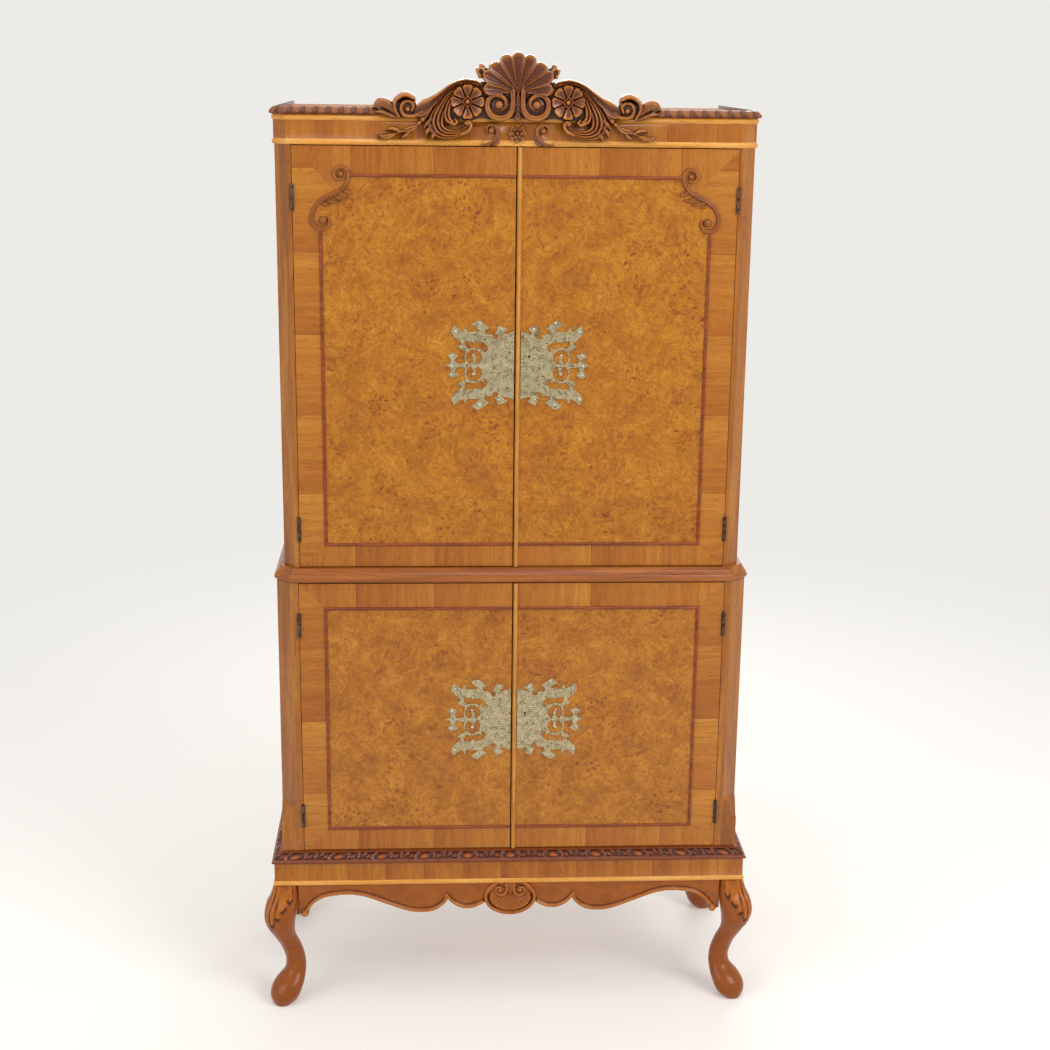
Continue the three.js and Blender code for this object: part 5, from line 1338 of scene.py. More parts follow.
    def thicken(self, piece: Object) -> None:
        """Pull the front out of the back, raise it to the carving, and close the flat back."""
        with editing(piece):
            bpy.ops.mesh.extrude_region_move(TRANSFORM_OT_translate={"value": (0, -self.board * MM, 0)})
        front = np.zeros(len(piece.data.vertices), bool)
        piece.data.vertices.foreach_get("select", front)
        rise = np.zeros(len(front), np.float32)
        piece.data.attributes["rise"].data.foreach_get("value", rise)
        points = coordinates(piece)
        points[front, 1] -= rise[front]
        set_coordinates(piece, points)
        piece.data.attributes.remove(piece.data.attributes["rise"])
        centres = np.zeros(len(piece.data.polygons) * 3)
        piece.data.polygons.foreach_get("center", centres)
        behind = centres.reshape(-1, 3)[:, 1] > (self.back - WELD) * MM
        delete_faces(piece, behind)
        with editing(piece, everything=False):
            bpy.ops.mesh.select_mode(type="EDGE")
            bpy.ops.mesh.select_non_manifold()
            bpy.ops.mesh.fill(use_beauty=False)
            bpy.ops.mesh.select_mode(type="VERT")
            bpy.ops.mesh.select_all(action="SELECT")
            bpy.ops.mesh.normals_make_consistent(inside=False)
        smooth(piece, 50)


@dataclass
class CarvedRun:
    """A moulding carved along its length, which turns the case's corners in mitres.

    Attributes:
        name: The piece's name.
        plan: Corners of the line it follows, from the back on the left to its other end.
        front: Its face, as (out, up) from the bottom to the top.
        back: The rest of its section, from the top down.
        carving: Gives how far the face stands out, for places along and shares up the face.
        step: Spacing along it.
    """

    name: str
    plan: Sequence[Point]
    front: Sequence[Point]
    back: Sequence[Point]
    carving: Callable[[Array, Array], Array]
    step: float = 1.5

    def build(self) -> Object:
        """Run the section along the plan and carve its face.

        Returns:
            The new object.
        """
        corners = np.array(self.plan, float)
        legs = np.diff(corners, axis=0)
        lengths = np.linalg.norm(legs, axis=1)
        normals = np.stack([legs[:, 1], -legs[:, 0]], 1) / lengths[:, None]
        mitres = [normals[0]]
        for before, after in zip(normals, normals[1:]):
            middle = before + after
            mitres.append(middle / (middle @ before))
        mitres.append(normals[-1])
        face, behind = np.array(self.front, float), np.array(self.back, float)
        heights = np.linspace(0, 1, len(face))
        rows, relief = [], []
        for k, length in enumerate(lengths):
            count = max(2, round(length / self.step))
            last = k == len(lengths) - 1
            for j in range(count + 1 if last else count):
                share = j / count
                push = self.carving(np.full(len(face), (share - 0.5) * length), heights)
                out = np.r_[face[:, 0] + push, behind[:, 0]]
                start = corners[k] + mitres[k] * out[:, None]
                end = corners[k + 1] + mitres[k + 1] * out[:, None]
                flat = start + (end - start) * share
                rows.append(np.c_[flat, np.r_[face[:, 1], behind[:, 1]]])
                # The face's relief: a painted highlight where the carving stands out, painted shade where
                # it sinks.
                relief.append(np.r_[0.46 + push * 0.12, np.full(len(behind), 0.4)])
        return skin(self.name, np.vstack(rows), len(face) + len(behind), np.concatenate(relief))


# Sub-assemblies


@dataclass
class Stage:
    """One stage's case: sides, corner stiles and back.

    Attributes:
        name: upper or lower.
    """

    name: str

    def build(self) -> None:
        """Dress the boards, easing the edges that show."""
        for side in Side:
            polished(f"{self.name}_{side.word}_side", UPRIGHT_WALNUT, 0.8)
            polished(f"{self.name}_{side.word}_corner_stile", UPRIGHT_WALNUT, 0.8)
        dress(f"{self.name}_back_panel", INSIDE)


@dataclass
class Boards:
    """The level boards between the stages, and the mirror and shelf of the upper cupboard."""

    def build(self) -> None:
        """Dress the boards and the glass."""
        dress("upper_top_board", TOP_WALNUT)
        for node in ("waist_board", "lower_floor_board"):
            dress(node, LEVEL_WALNUT)
        dress("mirror_back", SILVERED)
        polished("glass_shelf", PLATE_GLASS, 0.5)
        polished("waist_moulding", WAIST_WALNUT, 0.0)


def bead_run(name: str, line: Sequence[Point], face: float, width: float, proud: float) -> Object:
    """Run a half-round bead along a line on a door's face, mitred at its corners.

    Args:
        name: The piece's name.
        line: The corners of its middle line, as (x, z); each stretch is level or upright.
        face: The y of the door's face.
        width: The bead's width.
        proud: How far it stands out.

    Returns:
        The new object.
    """
    corners = [Vector((x, face, z)) * MM for x, z in line]
    ways = [(end - start).normalized() for start, end in zip(corners, corners[1:])]
    bars = []
    for k, (start, end) in enumerate(zip(corners, corners[1:])):
        middle = (start + end) / 2
        deselect()
        bpy.ops.mesh.primitive_cylinder_add(
            vertices=20, radius=0.5 * MM, depth=(end - start).length + 4 * width * MM, location=middle,
            rotation=ways[k].to_track_quat("Z", "Y").to_euler(),
        )
        bar = bpy.context.object
        bpy.ops.object.transform_apply(location=True, rotation=True, scale=True)
        upright = abs(ways[k].z) > 0.5
        size = (width if upright else 1, 2 * proud, 1 if upright else width)
        first, last = k == 0, k == len(ways) - 1
        before, after = ways[max(k - 1, 0)], ways[min(k + 1, len(ways) - 1)]
        with editing(bar):
            bpy.ops.transform.resize(value=size, center_override=middle)
            bpy.ops.mesh.bisect(plane_co=corners[0], plane_no=(0, 1, 0), use_fill=True, clear_outer=True)
            bpy.ops.mesh.select_all(action="SELECT")
            bpy.ops.mesh.bisect(plane_co=start, plane_no=before + ways[k], use_fill=first, clear_inner=True)
            bpy.ops.mesh.select_all(action="SELECT")
            bpy.ops.mesh.bisect(plane_co=end, plane_no=ways[k] + after, use_fill=last, clear_outer=True)
        bars.append(bar)
    piece = join(bars, name)
    with editing(piece):
        bpy.ops.mesh.remove_doubles(threshold=WELD * MM)
        bpy.ops.mesh.normals_make_consistent(inside=False)
    smooth(piece, 40)
    return piece


RIVETS = (
    (29.3, 66.0), (67.9, 77.7), (111.7, 62.0), (79.8, 18.6), (117.9, 17.7), (118.8, -0.9), (118.8, -17.4),
    (79.8, -16.0), (32.8, -62.9), (67.9, -72.7), (113.5, -61.2),
)


@dataclass
class Door:
    """One door: veneered leaf, panel bead, pierced plate, butt hinges and, on the right, its lock.

    Attributes:
        stage: upper or lower.
        side: Left or right.
        veneer: The finish of its face, which gives the places of its face and of its panel's edges.
        plate_level: Level of the plate's middle.
        scrolled: Whether the bead ends in a carved scroll at the outer top corner.
        bead_width: Width of the panel bead.
        bead_proud: How far the panel bead stands out.
        plate: Thickness of the plate.
        rivet: Radius of a rivet's head.
        middle: The x of the middle between the two plates.
        bead_end: Distance of the bead's ends from the cabinet's middle.
        break_x: How far before the corner the bead gives way to the scroll.
        break_z: How far under the corner it starts again.
        scroll_reach: How far the scroll's area reaches out of and into the panel from its corner.
        gap: Room between plate and door.
        keyhole_x: The x of the keyhole.
        keyhole_rises: How far the upper and the lower keyhole lie over the plate's middle.
        iron: Radius and thickness of the near-black disc behind the keyhole, painted shade in the hole.
    """

    stage: str
    side: Side
    veneer: BurrVeneer
    plate_level: float
    scrolled: bool
    bead_width: float = 5.8
    bead_proud: float = 3.6
    plate: float = 2.0
    rivet: float = 2.3
    middle: float = 4.3
    bead_end: float = 1.6
    break_x: float = 46.0
    break_z: float = 91.0
    scroll_reach: Point = (21.0, 56.0)
    gap: float = 0.3
    keyhole_x: float = 25.4
    keyhole_rises: Point = (15.0, 11.0)
    iron: Point = (6.0, 0.2)

    def build(self) -> None:
        """Make and dress the door's pieces."""
        name = f"{self.stage}_{self.side.word}"
        body = name + "_door_leaf"
        polished(name + "_door", self.veneer, 0.5)
        for piece in self.beads(name):
            hang(piece, body, PANEL_BEAD, name + "_panel_bead")
        if self.scrolled:
            hang(self.scroll(name), body, PANEL_BEAD_CARVED, name + "_panel_bead")
        polished(name + "_escutcheon", BRASS, 0.5, 30)
        hang(self.rivets(name), body, RIVET_STEEL)
        if self.side is Side.RIGHT:
            hang(self.keyhole(name), body, KEYHOLE_SHADE)
        for place in ("top", "bottom"):
            for leaf in ("door_leaf", "case_leaf"):
                polished(f"{name}_{place}_hinge_{leaf}", STEEL, 0.25)
        if self.side is Side.RIGHT:
            polished(self.stage + "_meeting_bead", BOXWOOD, 0.0)
            dress(self.stage + "_lock_case", STEEL)

    def beads(self, name: str) -> list[Object]:
        """Run the bead round three sides of the panel, and break it at the scroll.

        Args:
            name: The door's name.

        Returns:
            The runs.
        """
        sign, panel = self.side.value, self.veneer
        top, bottom = panel.line_top, panel.line_bottom
        inner, outer = sign * self.bead_end, sign * panel.line_side
        if not self.scrolled:
            line = [(inner, top), (outer, top), (outer, bottom), (inner, bottom)]
            return [bead_run(name + "_bead", line, panel.face, self.bead_width, self.bead_proud)]
        short = [(inner, top), (sign * (panel.line_side - self.break_x), top)]
        long = [(outer, top - self.break_z), (outer, bottom), (inner, bottom)]
        return [
            bead_run(f"{name}_{place}_bead", line, panel.face, self.bead_width, self.bead_proud)
            for place, line in (("top", short), ("side", long))
        ]

    def scroll(self, name: str) -> Object:
        """Carve the scroll that turns the corner of the bead.

        Args:
            name: The door's name.

        Returns:
            The new object.
        """
        sign = -self.side.value
        stem = [
            (50, 0), (49, -8), (43, -19), (33, -27.5), (19, -34.5), (5, -41.5), (-7, -52.5), (-14, -66),
            (-15.2, -78), (-10, -88), (0, -93.2), (11, -91), (16.2, -82), (13.5, -74),
        ]
        hook = [
            (50, 0), (48.5, 8), (42, 13.4), (34, 13.6), (27.5, 9), (25.6, 1.5), (29, -5), (35.5, -7.4),
            (41, -4.4),
        ]
        motifs = [
            Ridge([(40, -22), (46, -28), (52.5, -29.5)], (6, 8, 7), (3.4, 5, 5), groove=0.2),
            Ridge(
                [(24, -34), (33, -39), (42, -40), (48, -38.5)], (6, 9, 7, 2.5), (3.4, 5.2, 4.6, 3),
                groove=0.35,
            ),
            Ridge(
                [(10, -41), (20, -45.5), (29, -47), (34, -46)], (5, 8, 6, 2.5), (3.2, 4.8, 4.4, 3),
                groove=0.3,
            ),
            Ridge([(2, -46), (10, -50.5), (17, -51.5)], (5, 6, 2.5), (3, 4.2, 3)),
            Ridge(
                stem, (7, 7, 7.5, 8.5, 9.5, 9, 8, 7.4, 7.4, 8, 8.4, 8, 6.5, 4),
                (5.4, 5, 5, 5.2, 5.4, 5.2, 4.6, 4.2, 4.4, 4.8, 5, 5, 5, 4.4), groove=0.22,
            ),
            Ridge(
                hook, (7, 7, 7, 7, 7, 6.5, 6, 5, 4), (5.4, 5.4, 5.4, 5.4, 5.2, 5.2, 5, 5, 4.4), groove=0.12,
            ),
            Ball((37, 2.4), 5.2, 5.8),
            Ball((4.8, -78.5), 7.4, 6.0),
        ]
        corner = -sign * self.veneer.line_side
        low, high = sorted((corner - sign * self.scroll_reach[0], corner + sign * self.scroll_reach[1]))
        top = self.veneer.line_top
        return CarvedRelief(
            name + "_scroll", (low, top - 99), (high, top + 19), self.veneer.face + 0.2, 0.5, motifs, 0.7,
            sign=sign, shift=(corner, top),
        ).build()

    def keyhole(self, name: str) -> Object:
        """Lay a near-black disc behind the plate's keyhole, as painted shade in the hole.

        Args:
            name: The door's name.

        Returns:
            A thin disc in the room between plate and door.
        """
        rise = self.keyhole_rises[0 if self.scrolled else 1]
        radius, depth = self.iron[0] * MM, self.iron[1] * MM
        deselect()
        bpy.ops.mesh.primitive_cylinder_add(
            vertices=20, radius=radius, depth=depth, rotation=(math.pi / 2, 0, 0)
        )
        disc = bpy.context.object
        bpy.ops.object.transform_apply(location=False, rotation=True, scale=False)
        disc.name = disc.data.name = name + "_lock_iron"
        place = (self.keyhole_x, self.veneer.face - self.gap / 2, self.plate_level + rise)
        set_coordinates(disc, coordinates(disc) + np.array(place))
        smooth(disc)
        return disc

    def rivets(self, name: str) -> Object:
        """Set the plate's rivets: one domed head, copied to every place.

        Args:
            name: The door's name.

        Returns:
            The heads, joined.
        """
        deselect()
        bpy.ops.mesh.primitive_uv_sphere_add(segments=14, ring_count=8, radius=self.rivet * MM)
        head = bpy.context.object
        with editing(head):
            bpy.ops.transform.resize(value=(1, 0.55, 1), center_override=(0, 0, 0))
        one = coordinates(head)
        copies = [head, *(add_object(head.name, head.data.copy()) for _ in RIVETS[1:])]
        for copy, (across, up) in zip(copies, RIVETS):
            level = self.plate_level + up
            place = (self.middle + self.side.value * across, self.veneer.face - self.plate, level)
            set_coordinates(copy, one + np.array(place))
        rivets = join(copies, name + "_plate_rivets")
        smooth(rivets, 60)
        return rivets


@dataclass
class Cornice:
    """The frieze, the cornice's bead and its carved lip.

    Attributes:
        half: Half the case's width.
        front: The y of the case's front.
        back: The y of the case's back.
        cant: The size of the corner's cant.
        bead_top: Where the lip starts.
        top: The cornice's top.
        lip: How far the lip stands out of the case.
        bare: Half the run that the pediment covers.
        pitch: Length of one carved leaf.
    """

    half: float = 425.5
    front: float = -174.76
    back: float = 225.2
    cant: float = 22.2
    bead_top: float = 1707.7
    top: float = 1722.0
    lip: float = 6.9
    bare: float = 209.0
    pitch: float = 22.0

    def build(self) -> None:
        """Make and dress the frieze and the cornice."""
        polished("frieze", FRIEZE_VENEER, 0.0)
        polished("cornice_moulding", CORNICE_BEAD, 0.0)
        for side in Side:
            hang(self.run(side), "cabinet", CORNICE_CARVED)

    def run(self, side: Side) -> Object:
        """Carve the lip from the back of one side to the pediment."""
        sign = side.value
        plan = [
            (sign * self.half, self.back),
            (sign * self.half, self.front + self.cant),
            (sign * (self.half - self.cant), self.front),
            (sign * self.bare, self.front),
        ]
        if side is Side.RIGHT:
            plan.reverse()
        rise = self.top - self.bead_top
        face = [
            (self.lip * out, self.bead_top + 0.2 + up * (rise - 0.2))
            for out, up in zip(
                (0.5, 0.85, 1.0, 1.0, 0.9, 0.72, 0.5, 0.28, 0.05, -0.3, -0.7),
                (0.0, 0.06, 0.16, 0.26, 0.38, 0.5, 0.62, 0.74, 0.85, 0.94, 1.0),
            )
        ]
        back = [(-7.8, self.top), (-7.8, self.bead_top + 0.2)]
        return CarvedRun(f"cornice_carved_{side.word}_lip", plan, face, back, self.leaves).build()

    def leaves(self, along: Array, up: Array) -> Array:
        """Carve one leaf after another: rounded tongues with a vein, and a dart between."""
        share = (along / self.pitch) % 1
        off = np.abs(2 * share - 1)
        tongue = dome(off / (0.25 + 0.7 * up))
        vein = bell(off, 0.12)
        fade = clipped(4 * up) * clipped(5 * (1 - up))
        return fade * (2.6 * tongue - 0.2 - 0.9 * vein)


@dataclass
class Pediment:
    """The carved cresting: a shell between flowers, volutes and leaves, cut from one board.

    Attributes:
        back: The y of the board's back.
        board: Its thickness at the edge.
        half: Half its width.
        zero: The level that the motifs' heights are measured from.
        top: The height of the shell over that level.
        bottom: The depth of the lowest leaf under it.
    """

    back: float = -176.56
    board: float = 6.0
    half: float = 252.0
    zero: float = 1700.0
    top: float = 118.0
    bottom: float = -33.2

    def build(self) -> None:
        """Carve the cresting and hang it in place."""
        relief = CarvedRelief(
            name="pediment_carved_board",
            low=(-self.half, self.zero + self.bottom),
            high=(self.half, self.zero + self.top),
            back=self.back,
            board=self.board,
            motifs=self.motifs(),
            shift=(0.0, self.zero),
        )
        hang(relief.build(), "cabinet", CARVED, "pediment_carving")

    def motifs(self) -> list[Motif]:
        """List what is carved, from the ground up, for the right half."""
        return [*self.ground(), *self.band(), *self.leaves(), *self.ends(), *self.husks(), *self.middle()]

    def ground(self) -> list[Motif]:
        """The board between the motifs."""
        outline = [
            (0, 90), (40, 86), (58, 66), (90, 66), (113, 60), (134, 46), (150, 30), (150, 4), (120, 0),
            (100, 2), (80, 1), (66, 5), (48, 2), (30, 0), (12, 4), (0, 7),
        ]
        return [Ground(outline, 0.4)]

    def band(self) -> list[Motif]:
        """The arched cavetto that sweeps from the flower out to the end volute."""
        outer = [
            (60, 62), (69.3, 67.9), (78, 70.5), (91.6, 71.4), (105.3, 68.3), (119, 62), (131, 53.4),
            (143, 45.4), (155, 39.4), (165.3, 35.5), (178, 33),
        ]
        inner = [
            (60, 53), (69, 58), (78, 61), (90, 62), (103, 60), (115, 53.5), (126, 44), (136, 33),
            (148, 21), (158, 9), (168, 4), (184, 2),
        ]
        return [
            Leafage(outer, inner, (5, 12, 12.5, 10.5, 8, 6.5, 6, 6.6, 8.5, 9.5, 5), (0.9, 0.95, 0.9, 0.82))
        ]

    def leaves(self) -> list[Motif]:
        """The acanthus that flows from under the band, down and inwards to its curl."""
        outer = [
            (97, 62), (112, 56), (126, 45), (138, 32), (148, 19), (156, 5), (158.5, -9), (152, -22),
            (138, -30.5), (120, -32), (103, -28.5), (90, -20.5), (82.5, -9), (84, -1),
        ]
        inner = [
            (97, 57), (109, 47), (117, 35), (122, 22), (126, 10), (129, -1), (128, -8), (122, -13),
            (114, -15), (106, -15), (99, -13), (94, -9), (91, -5.5), (89, -2),
        ]
        sweep = Leafage(
            outer, inner, (4.5, 9.5, 11.5, 11, 10, 8), (0.8, 0.95, 1.0, 1.0, 1.0, 0.95, 0.95), 4, 0.42
        )
        tongue = Leafage(
            [(104, 54), (115, 45), (124, 32), (130, 16), (129, 2), (121, -6), (112, -8)],
            [(101, 50), (108, 40), (113, 30), (116, 18), (116, 8), (113, 3), (109, 0)],
            (7, 11.5, 12.5, 11, 7), (0.8, 1.0, 1.0, 0.95), 2, 0.4,
        )
        tips = [
            Ridge([(150, 2), (158, -6), (163.5, -14)], (7, 9, 2), (9, 8, 4)),
            Ridge([(150, -10), (157, -18), (160, -26)], (7, 9, 2), (9, 8, 4)),
            Ridge([(142, -20), (148, -27), (149.5, -33)], (7, 8, 2), (9, 8, 4)),
            Ridge([(150, 20), (160, 6), (166, -4)], (4, 7, 2), (8, 7, 4)),
        ]
        curls = [
            Ridge(
                [(98, -22), (87, -17), (81.5, -8), (86, -0.5), (91.5, -4)], (8, 9, 8.5, 7, 5),
                (10, 11, 12, 11.5, 10),
            ),
            Ball((88, -5.5), 4.2, 11.0),
            Ridge([(118, -2), (111, -6), (106, -2), (110, 3)], (6, 7, 6, 4), (11, 12, 12, 10)),
        ]
        return [sweep, *tips, tongue, *curls, Flower((87.5, 32.3), 30.5, 13.5)]

    def ends(self) -> list[Motif]:
        """The end volute in its rolled hood, and the leaf beyond it."""
        volute = [
            (168, 14), (176, 9), (187, 7.2), (198, 10), (202.5, 20), (198, 30), (188, 32), (181.5, 25),
            (184, 17),
        ]
        return [
            Ball((193, 22), 17.5, 7.5),
            Ball((204, 20), 14.0, 7.0),
            Ridge(
                [(207, 6), (216, 18), (228, 27.5), (240, 29), (250, 22)], (6, 14, 18, 17, 5),
                (6, 10, 11, 10, 4),
            ),
            Ridge([(209, 4), (222, 9), (235, 13.5), (247, 14)], (5, 9, 8, 3), (5, 7, 6, 3)),
            Ridge(volute, (7, 8, 8, 8, 7.5, 7, 6), (8, 10, 12, 12.5, 12.5, 12.5, 12), groove=0.15),
            Ball((191, 19), 5.6, 14.0),
            Ridge([(179.5, 30), (183, 39), (194, 43.5), (205, 40.5)], (5, 10, 11, 9), (9, 13.5, 15, 14.5)),
            Ridge([(203, 41), (212.5, 33), (213.5, 20), (206, 5.5)], (9, 9, 8, 5), (14.5, 14, 12.5, 9)),
            Channel([(179, 33.5), (189, 35.5), (199, 34), (206.5, 26), (207.5, 15)], 3.2, 5.0),
        ]

    def husks(self) -> list[Motif]:
        """The stem of husks that hangs from the band over the frieze."""
        return [
            Ridge(
                [(158, 8), (170, -3), (184, -12), (203, -20), (222, -24.5), (244, -25.5)],
                (4.5, 4, 3.6, 3.6, 2.6), (6, 5, 4.5, 4, 3),
            ),
            Ball((165, 2), 5.2, 8.0),
            Ball((171.5, -4.5), 4.2, 7.0),
            Ridge(
                [(174, -9), (184, -14), (196, -17.5), (203, -18)], (4, 11, 11, 3), (5, 8.5, 8.5, 4),
                groove=0.35,
            ),
            Ridge([(188, -18), (194, -25), (203, -30)], (5, 7, 2.4), (6, 6.5, 3)),
            Ridge([(204, -20), (212, -15.5), (222, -14), (229, -17)], (4, 8, 7, 2.4), (5, 7, 6.5, 3)),
            Ridge(
                [(214, -24), (224, -27.5), (233, -28.5), (240, -27)], (5, 9.5, 8, 3), (6, 8, 7, 4),
                groove=0.3,
            ),
        ]

    def middle(self) -> list[Motif]:
        """The shell, its frilled ears and the two volutes that it stands on."""
        under = [
            (10, 50), (8.5, 34), (11, 18), (21, 7.5), (35, 5.5), (47, 11.5), (53, 23), (51.5, 35.5),
            (42.5, 43.5), (31, 43), (22.5, 35.5), (21.5, 26), (27, 19.5),
        ]
        reaches = (64.6, 65, 64.5, 63, 63.5, 67, 65.5, 60, 57, 54)
        ears = [
            Ball((61, 82), 10.5, 9.0),
            Ridge(
                [(53, 66), (57.5, 74), (59, 84), (65, 89), (70, 83), (66, 77)], (9, 9, 8, 7, 6, 5),
                (10, 13, 14, 14, 13, 12),
            ),
            Ball((63, 93), 4.6, 13.0), Ball((69.5, 86), 4.4, 13.0), Ball((66, 76), 4.2, 13.0),
            Ridge([(55, 44), (60, 52), (57, 60)], (6, 8, 6), (9, 11, 10)),
        ]
        return [
            Shell((0, 49), reaches, 9, 97, 5.0, 14.0),
            *ears,
            Ball((31, 25), 21.0, 8.5),
            Ridge(
                under, (9, 11, 12.5, 13, 12.5, 12, 11, 10, 8.5, 7),
                (9, 11, 13, 14, 14, 13.5, 13, 12.5, 11.5), groove=0.12,
            ),
            Channel(
                [(18, 42), (16.2, 31), (18.5, 22), (26, 15.5), (35, 14.5), (42, 19), (44.5, 27)], 2.6, 6.0,
            ),
            Ball((32.5, 27.5), 9.8, 15.0),
            Ridge([(0, 58), (0, 40), (0, 22), (0, 6)], (5, 9, 15, 13), (7, 11, 9, 6), 8.0, 0.2, 0.3),
            Ridge([(9, 60), (7.5, 48), (6, 38)], (4, 6, 5), (7, 11, 10)),
        ]


@dataclass
class FriezeCarvings:
    """The rosette and the two small scrolls planted on the frieze.

    Attributes:
        face: The y of the frieze.
        zero: The level that the motifs' heights are measured from.
    """

    face: float = -176.46
    zero: float = 1700.0

    def build(self) -> None:
        """Carve the rosette and both scrolls."""
        rosette = CarvedRelief(
            "frieze_rosette", (-17, self.zero - 38), (17, self.zero - 4), self.face, 0.8,
            [
                Flower((0, -21), 16.8, 6.2, 8, 0.75, 0.0), Flower((0, -21), 11.0, 7.6, 6, 0.5, 0.0),
                Ball((0, -21), 3.4, 8.6),
            ],
            0.5, shift=(0.0, self.zero),
        )
        hang(rosette.build(), "cabinet", CARVED)
        for side in Side:
            hang(self.scroll(side), "cabinet", CARVED)

    def scroll(self, side: Side) -> Object:
        """Carve one scroll: a ball in a hooked stem that flares into a foot on the bead's end."""
        sign = side.value
        hook = [
            (52, -19), (53.5, -12), (48, -6.5), (39.5, -7.5), (34.5, -15), (36, -26), (43, -35), (54, -40),
            (66, -41),
        ]
        leaf = [(35, -20), (33.5, -29), (37, -38), (46, -41)]
        motifs = [
            Ridge(leaf, (5, 8, 8, 4), (4, 5.4, 5.2, 3), groove=0.2),
            Ridge(hook, (3, 5, 6, 6.5, 8, 8, 7, 5, 2), (4, 6, 6.6, 6.6, 6.6, 6.2, 5.4, 4, 3), groove=0.2),
            Ball((45.5, -16), 6.2, 7.6),
        ]
        low, high = sorted((sign * 29.0, sign * 68.0))
        return CarvedRelief(
            f"frieze_{side.word}_scroll", (low, self.zero - 43), (high, self.zero - 3), self.face, 0.8,
            motifs, 0.6, sign=sign, shift=(0.0, self.zero),
        ).build()


